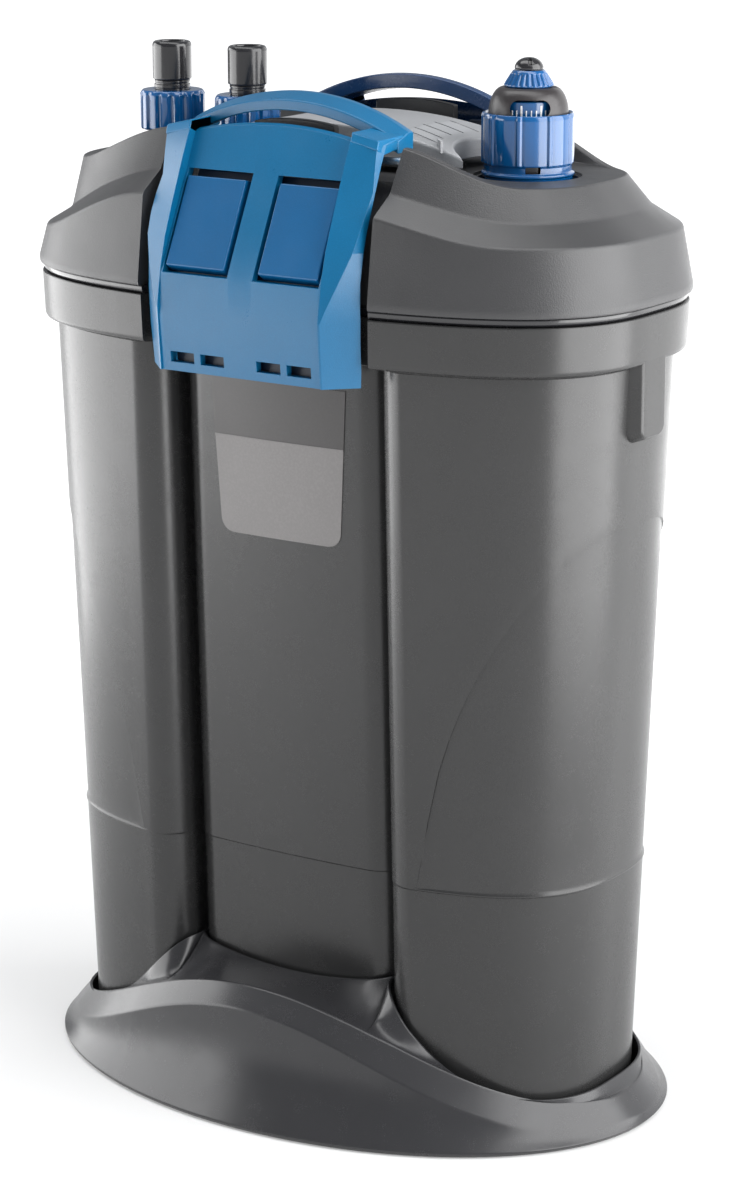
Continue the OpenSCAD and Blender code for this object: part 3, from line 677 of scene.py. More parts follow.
class FILTER_OT_base_tray(PieceOperator, bpy.types.Operator):
    """Bowed base tray with its light ribbon, deck and pocket"""

    bl_idname = "filter.base_tray"
    bl_label = "Base tray"

    def ribbon_edge(self, end_inset, side_inset, end_z, rise, power):
        return ring(tray_quarter(end_inset, side_inset), lambda x, y: end_z + rise * bow(x, power))

    def build(self, context):
        wall = inset_at(20)
        floor = wall_quarter(wall + 6)
        ribbon_lo, ribbon_hi = self.ribbon_edge(*RIBBON_LOW), self.ribbon_edge(*RIBBON_TOP)
        edge = ring(wall_quarter(wall, -RIM_GAP), lambda x, y: deck_edge(x))
        inner = ring(wall_quarter(wall, RIM_WIDTH - RIM_GAP), lambda x, y: deck_edge(x) - 0.2)
        deck = []
        for t in (0.2, 0.4, 0.6, 0.8, 0.92):
            mix = ribbon_hi * (1 - t) + edge * t
            mix[:, 2] = ribbon_hi[:, 2] + (edge[:, 2] - ribbon_hi[:, 2]) * t ** 1.8
            wide = np.minimum(np.linalg.norm((edge - ribbon_hi)[:, :2], axis=1) / 20, 1)
            mix[:, 2] -= DECK_SAG * math.sin(math.pi * t) * wide
            deck.append(mix)
        flare = []
        foot = ring(tray_quarter(0.0), 2.0)
        for t in (0.2, 0.4, 0.6, 0.8):
            mix = foot * (1 - t) + ribbon_lo * t
            rise = ribbon_lo[:, 2:3] - foot[:, 2:3]
            pull = np.clip(rise / 45, 0, 1) * FLARE_PULL * math.sin(math.pi * t)
            mix[:, :2] -= mix[:, :2] / np.linalg.norm(mix[:, :2], axis=1, keepdims=True) * pull
            flare.append(mix)
        rings = [ring(floor, 3.0), ring(floor, 0.6), ring(tray_quarter(2.0), 0.0), foot] + flare + [
            ribbon_lo, ribbon_hi] + deck + [edge, inner, ring(wall_quarter(wall, -POCKET_GAP), 8.0),
                                            ring(wall_quarter(wall, -POCKET_GAP), 3.2), ring(floor, 3.0)]
        radii = [0, 0, 0.6, 1.0, 0, 0, 0, 0, 0.9, 1.1, 0, 0, 0, 0, 0, 0.9, 0.5, 0.4, 0.5, 0]
        tray = skin("base_tray_shell", soften(rings, radii, 5), caps=(True, True), sharp=50)
        dress(tray, "housing", finish("base"), "base_tray", slot="base_grey")


# ---------------------------------------------------------------- canister
SWOOSH_X = 78.7
SWOOSH_RISE = 158.6


def swoosh_height(q):
    """Height of the curved line over each outline point, and how deep the step under it is."""
    t = np.degrees(np.arccos(np.clip(q[:, 0] / q[-1, 0], 0, 1) ** (PLAN_N / 2)))
    start = math.degrees(math.acos((SWOOSH_X / q[-1, 0]) ** (PLAN_N / 2)))
    u = np.clip((start - t) / start, 0, 1)
    z = STEP_Z + 1.6 + (SWOOSH_RISE - 1.6) * np.sqrt(1 - (1 - u) ** 2.1)
    return z, ease(0.0, 0.012, u)


class FILTER_OT_canister(PieceOperator, bpy.types.Operator):
    """Canister with its two columns, panel, band, grip tabs and fine step lines"""

    bl_idname = "filter.canister"
    bl_label = "Canister"

    def wall(self, z, extra=0.0):
        return ring(wall_quarter(inset_at(z) + extra), z)

    def build(self, context):
        s = sizes()
        step = s.step / MM
        rings = [self.wall(8, 8), self.wall(3.0, 6), self.wall(3.0, 3.2), self.wall(3.9, 1.5),
                 self.wall(5.4, 0.5), self.wall(8.0, step * 0.4)]
        for z in (25, 45, 65, 85, 100):
            rings.append(self.wall(z, step))
        rings += [self.wall(STEP_Z - 0.5, step), self.wall(STEP_Z - 0.12, step * 0.9),
                  self.wall(STEP_Z + 0.1, 0.06), self.wall(STEP_Z + 0.5, 0.0)]
        line_z, deep = swoosh_height(BASE_Q)
        start_z = STEP_Z + 0.8

        def warped(t, below, fade):
            z = start_z + (line_z - start_z) * t if below else line_z + (BAND_Z - 0.8 - line_z) * t
            pts = []
            for i in range(QN + 1):
                q = wall_quarter_point(i, inset_at(z[i]) + s.swoosh / MM * deep[i] * fade)
                pts.append((q[0], q[1], z[i]))
            return full_ring(np.array(pts))

        gap = 0.35
        for t in (0.0, 0.12, 0.3, 0.5, 0.7, 0.88):
            rings.append(warped(t, True, 1.0 if t else 0.0))
        rings.insert(-5, warped(0.015, True, 1.0))
        lower, upper = warped(1.0, True, 1.0), warped(0.0, False, 0.0)
        lower[:, 2] -= gap
        rings.append(lower)
        middle = warped(1.0, True, 0.45)
        middle[:, 2] -= gap * 0.25
        rings.append(middle)
        upper[:, 2] += gap * 0.2
        rings.append(upper)
        for t in (0.1, 0.3, 0.55, 0.8, 1.0):
            rings.append(warped(t, False, 0.0))
        rings.append(self.wall(BAND_Z - 0.8, 0.0))
        shell = skin("canister_wall", rings, caps=(True, False), sharp=34)
        band_rings = [
            ring(wall_quarter(inset_at(BAND_Z) + 3.0), BAND_Z - 3.0),
            ring(wall_quarter(inset_at(BAND_Z) - 0.02), BAND_Z - 1.4),
            ring(notch_quarter(inset_at(BAND_Z) - 1.2, 72.6, NOTCH_X), BAND_Z),
            ring(notch_quarter(2.0, 75.0, NOTCH_X), BAND_Z + 0.1),
            ring(notch_quarter(1.2, 75.5, NOTCH_X), RIM_Z),
            ring(notch_quarter(6, 71, NOTCH_X), RIM_Z),
            ring(notch_quarter(6, 71, NOTCH_X), BAND_Z + 6)]
        band_radii = [0, 0, 1.0, 2.6, 0.7, 0.5, 0]
        band = skin("canister_band", soften(band_rings, band_radii, 5), caps=(False, False), sharp=42)
        tabs = [self.grip_tab(s) for s in (1, -1)]
        whole = join("canister_shell", [shell, band] + tabs, sharp=34)
        dress(whole, "housing", finish("body"), "canister", slot="body_grey")

    def grip_tab(self, side):
        """Flush tab that hangs from the band at one end, with round lower corners."""
        half, low, high, r = 12.0, 308.0, BAND_Z + 8, 6.0
        outline = [(-half, high)]
        for k in range(9):
            a = math.radians(180 + 90 * k / 8)
            outline.append((-half + r + r * math.cos(a), low + r + r * math.sin(a)))
        for k in range(9):
            a = math.radians(270 + 90 * k / 8)
            outline.append((half - r + r * math.cos(a), low + r + r * math.sin(a)))
        outline.append((half, high))
        o = np.array(outline)
        mid_z = (low + high) / 2

        def layer(shrink, x):
            y = o[:, 0] * (1 - shrink / half)
            z = np.where(o[:, 1] < mid_z, o[:, 1] + shrink * np.clip((low + r - o[:, 1]) / r, 0, 1), o[:, 1])
            face = SKIRT_A - x - np.where(z > BAND_Z, (z - BAND_Z) * 0.01, 0)
            face = face * (1 - (np.abs(y) / 82) ** PLAN_N) ** (1 / PLAN_N)
            return np.stack([side * face, y, z], 1)

        rings = [layer(-1.0, 12.0), layer(-0.3, 8.2), layer(0.2, 6.5), layer(2.0, 1.9), layer(6.0, 1.9)]
        return skin("tab", soften(rings, [0, 0.8, 0, 1.3, 0], 4), caps=(False, True), sharp=60)


def full_ring(q):
    """Four mirrored quarters of points that carry their own heights."""
    parts = [q * (1, -1, 1), q[-2::-1], q[1:] * (-1, 1, 1), q[-2:0:-1] * (-1, -1, 1)]
    return np.concatenate(parts)


QUARTERS = {}


def wall_quarter_point(i, d):
    """Outline point i at any inset, from two stored outlines."""
    lo = math.floor(d * 4) / 4
    for key in (lo, lo + 0.25):
        if key not in QUARTERS:
            QUARTERS[key] = wall_quarter(key)
    t = (d - lo) / 0.25
    return QUARTERS[lo][i] * (1 - t) + QUARTERS[lo + 0.25][i] * t


# ---------------------------------------------------------------- label
class FILTER_OT_label(PieceOperator, bpy.types.Operator):
    """Plain tapered label in two greys, without any lettering"""

    bl_idname = "filter.label"
    bl_label = "Label"

    top_half, foot_half, high, low, corner = 35.0, 31.0, 327.0, 258.0, 6.0
    split = 301.0

    def sheet(self, name, z0, z1, rounded, lift):
        """A thin film on the bowed panel between two heights."""
        cols, rows = 28, 18
        verts, faces = [], []
        for j in range(rows + 1):
            z = z0 + (z1 - z0) * (j / rows) ** (1.6 if rounded else 1)
            half = self.foot_half + (self.top_half - self.foot_half) * (z - self.low) / (self.high - self.low)
            if rounded and z < self.low + self.corner:
                k = 1 - (z - self.low) / self.corner
                half -= self.corner * (1 - math.sqrt(max(0, 1 - k * k)))
            for i in range(cols + 1):
                x = half * (2 * i / cols - 1)
                y = SKIRT_B - inset_at(z) - PANEL_SET - 1.3 * (x / SHOULDER_X) ** 2
                verts.append((x, -y - lift, z))
        for j in range(rows):
            for i in range(cols):
                a = j * (cols + 1) + i
                faces.append((a, a + 1, a + cols + 2, a + cols + 1))
        obj = make_object(name, verts, faces, 60, False)
        m = obj.modifiers.new("film", "SOLIDIFY")
        m.thickness = 0.25 * MM
        m.offset = 1.0
        return obj

    def build(self, context):
        foot = self.sheet("label_foot", self.low, self.split, True, 0.12)
        head = self.sheet("label_head", self.split, self.high, False, 0.12)
        rule = self.sheet("label_rule", self.split - 0.5, self.split + 0.5, False, 0.3)
        for obj, film in ((foot, "label_light"), (head, "label_dark"), (rule, "label_light")):
            settle(obj)
            clean(obj)
            shade(obj, 60, False)
            dress(obj, "housing", finish(film), slot="label_grey")
        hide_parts("label_plate")


# ---------------------------------------------------------------- gasket and lid
class FILTER_OT_gasket(PieceOperator, bpy.types.Operator):
    """Glossy black gasket in the seam under the lid"""

    bl_idname = "filter.gasket"
    bl_label = "Rim gasket"

    def build(self, context):
        z0, z1 = foot_of("rim_gasket"), top_of("rim_gasket")
        # inset from the skirt, depth behind the latch, height
        rows = [(6, 71, z0), (3.0, 74.2, z0), (1.9, 74.8, z0 + 1.2), (1.7, 74.9, z1 - 0.6), (2.2, 74.6, z1),
                (6, 71, z1)]
        rings = [ring(notch_quarter(inset, y, NOTCH_X), z) for inset, y, z in rows]
        rings.append(rings[0])
        obj = skin("rim_gasket_ring", soften(rings, [0, 0.5, 0.8, 0.4, 0.4, 0.5, 0], 3), caps=(False, False))
        dress(obj, "housing", finish("seal"), "rim_gasket", slot="seal_black")


def crease_z(x):
    right = 394 + 12 * (1 - ease(40, 115, x))
    left = 383 + 23 * (1 - ease(55, 140, -x))
    return np.where(x > 0, right, left)


def tier_base_z(x):
    return crease_z(x) + 8.5 - 2.5 * ease(90, 130, -x)


def tier_top_z(x):
    right = DECK_Z + 15.5 * (1 - ease(52, 108, x))
    left = 413 + 18.5 * (1 - ease(58, 125, -x))
    return np.where(x > 0, right, left)


def deck_z(x):
    return np.where(x > -50, DECK_Z, np.minimum(LEFT_DECK_Z, tier_top_z(x) - 0.3))


LID_HEIGHTS = {"flat": lambda x: x * 0, "crease": crease_z, "base": tier_base_z, "top": tier_top_z,
               "deck": deck_z}


def lid_ring(d, dl, mode, dz, yr, zr):
    """Ring of the lid: inset d on the right and dl at the left end; yr and zr set it behind the latches."""
    quarters = []
    i = np.arange(QN + 1)
    for sx in (1, -1):
        p = BASE_Q[:, 0]
        dd = np.full(QN + 1, float(d)) if sx > 0 else d + (dl - d) * ease(0.45, 0.95, p / REF_A)
        a, b = SKIRT_A - dd, SKIRT_B - dd
        x = notch_xs(a, RECESS_X, p)
        y = np.where(i <= NOTCH_I, yr, oval_y(x, a, b))
        z = np.where(i <= NOTCH_I, zr, LID_HEIGHTS[mode](sx * x) + dz)
        quarters.append(np.stack([sx * x, y, z], 1))
    r, l = quarters
    return np.concatenate([r * (1, -1, 1), r[-2::-1], l[1:], l[-2:0:-1] * (1, -1, 1)])


CEILING_Z = DECK_Z - 4
RIB_Y = (45.0, 49.0)
RIB_TOP, RIB_R, RIB_HALF = 438.2, 110.0, 20.5


class FILTER_OT_lid(PieceOperator, bpy.types.Operator):
    """Lid with skirt, cove, saddle-edged tier, decks, wells and the ribs under the hoops"""

    bl_idname = "filter.lid"
    bl_label = "Lid"

    def build(self, context):
        r = sizes().edge / MM
        rows = [
            (30, 26, "flat", CEILING_Z, 47, CEILING_Z), (20.5, 18, "base", -3.5, 63, 396),
            (8, 8, "crease", -3, 68, 380), (3, 3, "flat", LID_Z, 70, LID_Z),
            (0.2, 0.2, "flat", LID_Z, 73, LID_Z), (0, 0, "flat", LID_Z + 2.6, 73, LID_Z + 2.6),
            (4.5, 3.5, "crease", 0, 71, 380), (17, 14, "base", 0, 66, 400), (27, 19, "top", 0, 50, DECK_Z),
            (31, 23, "top", 0, 46, DECK_Z), (31.5, 23.5, "deck", 0, 45, DECK_Z),
            (33, 25, "deck", 0, 43, DECK_Z)]
        rings = [lid_ring(*row) for row in rows]
        radii = [0, 0, 0, 0.3, 0.8, 1.2, 1.6 * r, 1.4 * r, r, r, 0.6, 0]
        lid = skin("lid_shell", soften(rings, radii, 4), sharp=46)
        hx, ix, ox, px = (mid(n).x for n in ("heater_dome", "inlet_tail", "outlet_tail", "primer_plunger"))
        cutters = []
        for x, rad in ((hx, 21.5), (ix, 12.9), (ox, 12.9), (px, 6.5)):
            cutters.append(turned("well", [(rad, CEILING_Z - 3), (rad, DECK_Z + 12)], at=(x, 0)))
        cutters.append(turned("well_rim", [(23.0, DECK_Z - 1.2), (23.0, DECK_Z + 6)], at=(hx, 0)))
        combine(lid, cutters)
        ribs = [self.rib(s) for s in (-1, 1)]
        lid = join("lid_moulding", [lid] + ribs, sharp=36)
        lid.data.materials.append(finish("lid"))
        lid.data.materials.append(finish("smooth_cove_painted_shade"))
        self.mark_cove(lid)
        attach(lid, "housing")
        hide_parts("lid")

    def rib(self, s):
        pts = [(-RIB_HALF, DECK_Z - 1)]
        for k in range(17):
            x = RIB_HALF * (2 * k / 16 - 1)
            pts.append((x, RIB_TOP - RIB_R + math.sqrt(RIB_R ** 2 - x * x)))
        pts.append((RIB_HALF, DECK_Z - 1))
        n = len(pts)
        verts = [(x, s * RIB_Y[0], z) for x, z in pts] + [(x, s * RIB_Y[1], z) for x, z in pts]
        faces = [tuple(range(n)), tuple(range(2 * n - 1, n - 1, -1))]
        faces += [(i, (i + 1) % n, (i + 1) % n + n, i + n) for i in range(n)]
        obj = make_object("rib", verts, faces, 40, False)
        round_edges(obj, 0.5, 3, 40)
        return obj

    def mark_cove(self, lid):
        """The smooth cove between skirt and tier has a smoother finish, and its colour is a shade darker than
        the grained faces: painted shade.
        """
        for p in lid.data.polygons:
            c, n = p.center / MM, p.normal
            if abs(c.x) < RECESS_X + 1 and abs(c.y) < 72:
                continue
            x = np.array([c.x])
            if crease_z(x)[0] + 0.3 < c.z < tier_base_z(x)[0] - 0.3 and n.z > 0.05:
                a = SKIRT_A - 10
                out = (abs(c.x) / a) ** PLAN_N + (abs(c.y) / (SKIRT_B - 10)) ** PLAN_N
                if out > 0.7:
                    p.material_index = 1


# ---------------------------------------------------------------- latches
PANEL_X = 41.0
RAIL_X = 54.5
PIN_Y, PIN_Z = 55.0, 424.5
PANEL_FACE = [(-62, 434.5), (-69.6, 417), (-80, 395.5), (-89.7, 375), (-91.2, 356.7), (-89, 333)]
PANEL_BACK = [(-85.5, 333), (-87.6, 356.5), (-86.2, 373.8), (-76.6, 394), (-66.2, 415.5), (-59, 433)]
PLATE_OUTLINE = [(-84.2, 342), (-86, 356.5), (-84.6, 373.4), (-75, 393.5), (-64, 416), (-61.5, 414.5),
                 (-72.5, 392.2), (-81.6, 372.4), (-83, 356.5), (-81.5, 342)]
LUG_OUTLINE = [(-64, 416), (-58, 428), (-55, 429.8), (-52, 429.5), (-50.5, 424.5), (-52, 419.5),
               (-61.5, 414.5)]
HOOK_OUTLINE = [(-85, 336.5), (-84.2, 343), (-81.5, 343), (-80.5, 340.5), (-70, 340.2), (-70, 338.5),
                (-80, 336.5)]
PAD_OUTLINE = [(-88.9, 378.2), (-71.9, 414.2), (-66, 412.6), (-84, 374.8)]
WINDOW_X = 6.4
WINDOW_LO, WINDOW_HI = 375.0, 417.0
HOOP_TOP, HOOP_Y0, HOOP_Y1, HOOP_RISE = 449.5, 52.0, 40.0, 14.0
RAIL_ROWS = [
    # z, y of the inner front edge, x and y of the outer front edge, x and y of the rear edge
    (437.0, -66.0, 53.5, -65.8, 54.4, -46.0),
    (434.2, -66.8, 53.5, -65.9, 54.4, -46.0),
    (432.0, -68.0, 53.6, -66.4, 54.4, -60.5),
    (424.0, -71.8, 53.7, -68.0, 54.4, -64.4),
    (413.2, -76.5, 53.8, -69.8, 54.4, -68.9),
    (405.3, -79.8, 53.8, -75.0, 54.4, -72.0),
    (398.0, -82.8, 53.4, -79.2, 54.4, -75.0),
    (389.6, -86.1, 52.4, -83.0, 54.4, -77.6),
    (377.1, -89.5, 48.2, -87.6, 54.4, -80.0),
    (366.0, -91.4, 44.0, -90.9, 54.4, -80.2),
    (360.5, -92.2, 41.9, -91.9, 54.4, -79.9),
    (351.6, -91.5, 41.8, -91.2, 54.2, -79.6),
    (340.0, -90.6, 41.8, -90.3, 53.8, -78.4),
    (333.0, -90.0, 41.8, -89.7, 53.4, -78.0),
]


class FILTER_OT_latches(PieceOperator, bpy.types.Operator):
    """Front and rear latches: panel with T-bar, rails, hoop, pads and hooks"""

    bl_idname = "filter.latches"
    bl_label = "Latches"

    def panel(self, edge):
        """Bent panel with two windows and hook slots; its top edge is a shallow arch."""
        cols = 36
        xs = [PANEL_X * (2 * i / cols - 1) for i in range(cols + 1)]
        outline = PANEL_FACE + PANEL_BACK
        n = len(outline)
        verts, faces = [], []
        for x in xs:
            drop = 4.2 * (x / PANEL_X) ** 2
            for i, (y, z) in enumerate(outline):
                if i == 0:
                    verts.append((x, y - 0.42 * (drop - 1.9), z + 1.9 - drop))
                elif i == n - 1:
                    verts.append((x, y - 0.42 * (drop - 1.9), z + 4.2 - drop))
                else:
                    verts.append((x, y, z))
        for c in range(cols):
            for i in range(n):
                j = (i + 1) % n
                faces.append((c * n + i, (c + 1) * n + i, (c + 1) * n + j, c * n + j))
        faces.append(tuple(range(n - 1, -1, -1)))
        faces.append(tuple(cols * n + i for i in range(n)))
        panel = make_object("latch_panel", verts, faces, 30, False)
        cutters = []
        for s in (-1, 1):
            width = PANEL_X - 1 - WINDOW_X
            cutters.append(block("window", (s * (WINDOW_X + width / 2), -75, (WINDOW_LO + WINDOW_HI) / 2),
                                 (width, 50, WINDOW_HI - WINDOW_LO)))
            for k in (0, 1):
                cutters.append(block("slot", (s * (14.5 + 15.5 * k), -89, 339.2), (12.2, 14, 4.6)))
        combine(panel, cutters)
        round_edges(panel, edge, 3, 30)
        return panel

    def rail(self, s, edge):
        """Side rail whose front face turns outwards as it comes down the body."""
        rings = []
        for z, yi, xo, yo, xr, yr in RAIL_ROWS:
            back_in = yr if z > 420 else max(yr, -80.0)
            rings.append(np.array([(s * PANEL_X, yi, z), (s * xo, yo, z - (2.8 if z > 436 else 0)),
                                   (s * xr, yr, z - (2.8 if z > 436 else 0)), (s * PANEL_X, back_in, z)]))
        obj = skin("rail", rings, sharp=14, weighted=False)
        round_edges(obj, edge * 1.2, 3, 13)
        return obj

    def hoop(self, edge):
        """Carrying hoop: a flat arch whose top face falls towards the front."""
        half = RAIL_X
        r = (half * half + HOOP_RISE * HOOP_RISE) / (2 * HOOP_RISE)
        rows = []
        steps = 40
        reach = half * 0.999
        for i in range(steps + 1):
            x = reach * (2 * i / steps - 1)
            top = HOOP_TOP - r + math.sqrt(r * r - x * x)
            low = HOOP_TOP - r - 1.5 + math.sqrt(max((r - 5.5) ** 2 - x * x, 0))
            near = 1 - (x / half) ** 2
            front_y = -HOOP_Y0 - 0.6 * near
            low = min(low, top - 4.5)
            rows.append(np.array([(x, front_y, top - 3.0), (x, front_y, low - 0.6), (x, -HOOP_Y1, low + 0.6),
                                  (x, -HOOP_Y1, top - 0.2), (x, -HOOP_Y1 - 4, top)]))
        obj = skin("hoop", rows, sharp=30, weighted=False)
        round_edges(obj, edge, 3, 20)
        return obj

    def shoulder(self, s, edge):
        """Slab that carries the rail back under the hoop's end."""
        o = [(-66.2, 437.0), (-45.0, 437.6), (-45.0, 433.0), (-62.5, 430.6), (-67.6, 433.2)]
        n = len(o)
        x0, x1, fall = PANEL_X, RAIL_X - 0.4, 2.9
        verts = [(s * x0, y, z) for y, z in o] + [(s * x1, y + 0.3, z - fall) for y, z in o]
        faces = [tuple(range(n)), tuple(range(2 * n - 1, n - 1, -1))]
        faces += [(i, (i + 1) % n, (i + 1) % n + n, i + n) for i in range(n)]
        obj = make_object("shoulder", verts, faces, 30, False)
        round_edges(obj, edge, 3, 20)
        return obj

    def build(self, context):
        edge = sizes().latch_edge / MM
        parts = [self.panel(edge), self.hoop(edge)]
        for s in (-1, 1):
            parts += [self.rail(s, edge), self.shoulder(s, edge)]
        for p in parts:
            settle(p)
        cover = join("front_latch_moulding", parts, sharp=32)
        pads = []
        for s in (-1, 1):
            x0, x1 = WINDOW_X + 2.4, PANEL_X - 2.2
            pads.append(extrude_x("pad", PAD_OUTLINE, min(s * x0, s * x1), max(s * x0, s * x1), 0.6, 3))
        pads = join("front_latch_pads", pads, sharp=32)
        lever = [extrude_x("plate", PLATE_OUTLINE, -39, 39, 0.4, 2)]
        for s in (-1, 1):
            x0, x1 = (24, 39) if s > 0 else (-39, -24)
            lug = extrude_x("lug", LUG_OUTLINE, x0, x1, 0.4, 2)
            bore = turned("bore", [(2.05, -60), (2.05, 60)], steps=32)
            at_pin = Matrix.Translation((0, -PIN_Y * MM, PIN_Z * MM))
            bore.data.transform(at_pin @ Matrix.Rotation(math.pi / 2, 4, "Y"))
            settle(lug)
            lever.append(combine(lug, [bore]))
        lever.append(extrude_x("hook", HOOK_OUTLINE, -36, 36, 0.35, 2))
        core = join("front_latch_lever", lever, sharp=32)
        rear_cover = mirrored(cover, "rear_latch_moulding")
        rear_core = mirrored(core, "rear_latch_lever")
        rear_pads = mirrored(pads, "rear_latch_pads")
        dress(cover, "front_latch", finish("latch"), "front_latch_cover", slot="latch_blue")
        # The levers take the near-black finish: painted shade behind the panel's slots.
        dress(core, "front_latch", finish("lever"), "front_latch_core", slot="latch_pad_blue")
        dress(pads, "front_latch", finish("pad"), slot="latch_pad_blue")
        # The rear latch gets the darker copy of the latch blue as painted shade.
        dress(rear_cover, "rear_latch", finish("rear_latch"), "rear_latch_cover", slot="latch_blue")
        dress(rear_core, "rear_latch", finish("lever"), "rear_latch_core", slot="latch_pad_blue")
        dress(rear_pads, "rear_latch", finish("pad"), slot="latch_pad_blue")


# ---------------------------------------------------------------- primer button
BUTTON_R, BUTTON_TOP = 241.0, 435.0
SLOT_TURN = math.radians(-16)


class FILTER_OT_primer_button(PieceOperator, bpy.types.Operator):
    """Crowned light-grey primer button with its slots and hollow for the heater"""

    bl_idname = "filter.primer_button"
    bl_label = "Primer button"

    slot_pitch, slot_w = 9.5, 1.1

    def outline(self, inset, hx):
        """Plan of the button: rounded corners and a hollow round the heater."""
        x0, x1, y0, y1 = -41 + inset, 71.5 - inset, -28 + inset, 30 - inset
        hollow = 31.0 + inset
        r = 4.0 - min(inset, 2.0)
        pts = []

        def arc(cx, cy, rad, a0, a1, n):
            for k in range(n + 1):
                a = math.radians(a0 + (a1 - a0) * k / n)
                pts.append((cx + rad * math.cos(a), cy + rad * math.sin(a)))

        arc(x0 + r, y0 + r, r, 180, 270, 6)
        top_in = math.degrees(math.asin(min(1, (y1 - 0.01) / hollow)))
        low_in = math.degrees(math.asin(max(-1, (y0 + 0.01) / hollow)))
        pts.append((min(x1, hx - hollow * math.cos(math.radians(low_in)) - 1.5), y0))
        arc(hx, 0, hollow, 180 - low_in - 6, 180 - top_in + 6, 26)
        pts.append((min(x1, hx - hollow * math.cos(math.radians(top_in)) - 1.5), y1))
        arc(x0 + r, y1 - r, r, 90, 180, 6)
        return pts

    def fine_outline(self, inset, hx):
        """The plan with its straight edges divided, so that they follow the crown."""
        plain, pts = np.array(self.outline(0.0, hx)), np.array(self.outline(inset, hx))
        parts = np.ceil(np.linalg.norm(np.roll(plain, -1, 0) - plain, axis=1) / 3).astype(int)
        fine = [p + (q - p) * k / n for p, q, n in zip(pts, np.roll(pts, -1, 0), parts) for k in range(n)]
        return np.array(fine)

    def build(self, context):
        hx = mid("heater_dome").x
        lo = foot_of("primer_button")

        def crown(x):
            return BUTTON_TOP - BUTTON_R + np.sqrt(BUTTON_R ** 2 - x * x)

        def layer(inset, drop, flat=None):
            o = self.fine_outline(inset, hx)
            z = np.full(len(o), flat) if flat is not None else crown(o[:, 0]) - drop
            return np.column_stack([o, z])

        rings = [layer(2.5, 0, lo + 2.0), layer(2.5, 0, lo), layer(0.4, 0, lo), layer(0.0, 0, lo + 0.5),
                 layer(0, 1.5), layer(0.25, 0.6), layer(0.7, 0.15), layer(1.3, 0.0)]
        side = skin("button", rings, caps=(True, False), sharp=50)
        cap = self.crown_cap(layer(1.3, 0.0), crown)
        body = join("button", [side, cap], sharp=40)
        clean(body)
        # x, y, length and turn of each grip slot
        slots = [(40 + 0.9 * (k - 1.5) ** 2, 19.4 - self.slot_pitch * k, 19, SLOT_TURN) for k in range(5)]
        slots.append((58.6, -26.0, 8.3, SLOT_TURN * 3))
        cutters = [block("slot", (x, y, crown(np.array(x)) + 0.6), (length, self.slot_w, 5.0), turn)
                   for x, y, length, turn in slots]
        combine(body, cutters)
        body.name = "primer_button_cap"
        dress(body, "primer", finish("button"), "primer_button", slot="button_grey")

    def crown_cap(self, rim, crown):
        bm = bmesh.new()
        verts = [bm.verts.new((p[0], p[1], 0)) for p in rim]
        bm.faces.new(verts)
        for x in np.arange(-38, 74, 3.0):
            geom = bm.verts[:] + bm.edges[:] + bm.faces[:]
            bmesh.ops.bisect_plane(bm, geom=geom, plane_co=(x, 0, 0), plane_no=(1, 0, 0))
        for v in bm.verts:
            v.co.z = float(crown(np.array(v.co.x)))
        for v in bm.verts:
            v.co *= MM
        mesh = bpy.data.meshes.new("crown")
        bm.to_mesh(mesh)
        bm.free()
        obj = bpy.data.objects.new("crown", mesh)
        bpy.context.scene.collection.objects.link(obj)
        return obj


# ---------------------------------------------------------------- hose connections
class FILTER_OT_hose_tails(PieceOperator, bpy.types.Operator):
    """Polished black hose tails, their fluted union nuts and threaded spigots"""

    bl_idname = "filter.hose_tails"
    bl_label = "Hose connections"

    def build(self, context):
        flutes = sizes().flutes
        for side in ("inlet", "outlet"):
            x = mid(side + "_tail").x
            top, low = top_of(side + "_tail"), foot_of(side + "_tail")
            profile = [(6.2, low), (11.6, low), (11.6, low + 3.6), (7.7, low + 3.6), (7.7, 441.4),
                       (8.1, 441.5), (8.1, 442.9), (7.7, 443.0), (7.7, 443.7), (7.95, 443.8), (7.95, 444.6),
                       (7.7, 444.8),
                       (7.9, top - 17.1), (8.75, top - 16.7), (8.75, top - 1.6), (8.3, top - 0.5), (7.5, top),
                       (6.5, top), (6.2, top - 0.6), (6.2, low)]
            radii = [0, 0.4, 0.4, 0.5] + [0.12] * 8 + [0.3, 0.5, 0.6, 0.5, 0.4, 0.3, 0.3, 0]
            tail = turned(side + "_hose_tail", profile, 96, (x, 0), radii)
            dress(tail, "housing", finish("gloss_black"), side + "_tail", slot="gloss_black")
            z0, z1 = foot_of(side + "_nut"), top_of(side + "_nut")

            def scallop(ang, r, z, z0=z0, z1=z1):
                if r < 12.9:
                    return np.full(len(ang), r)
                w = np.cos(ang * flutes)
                groove = np.clip(-w, 0, 1) ** 0.8 * 1.15
                groove = groove * ease(z1, z1 - 2.6, np.array(z))
                return r - groove

            profile = [(12.2, z0), (14.0, z0), (14.6, z0 + 0.7), (14.6, z0 + 6), (14.6, z1 - 6),
                       (14.6, z1 - 3), (14.6, z1 - 1.6), (13.6, z1 - 0.2), (13.0, z1), (8.6, z1),
                       (8.15, z1 - 0.5), (8.15, z1 - 3), (12.2, z1 - 3), (12.2, z0)]
            radii = [0, 0.3, 0.5, 0, 0, 0, 0.9, 0.5, 0.3, 0.4, 0.2, 0, 0.3, 0]
            nut = turned(side + "_union_nut", profile, flutes * 14, (x, 0), radii, scallop, 40)
            dress(nut, side + "_nut", finish("gloss_blue"), side + "_nut", slot="gloss_blue")


# ---------------------------------------------------------------- heater head
WINDOW_TURN = math.radians(-56.5)


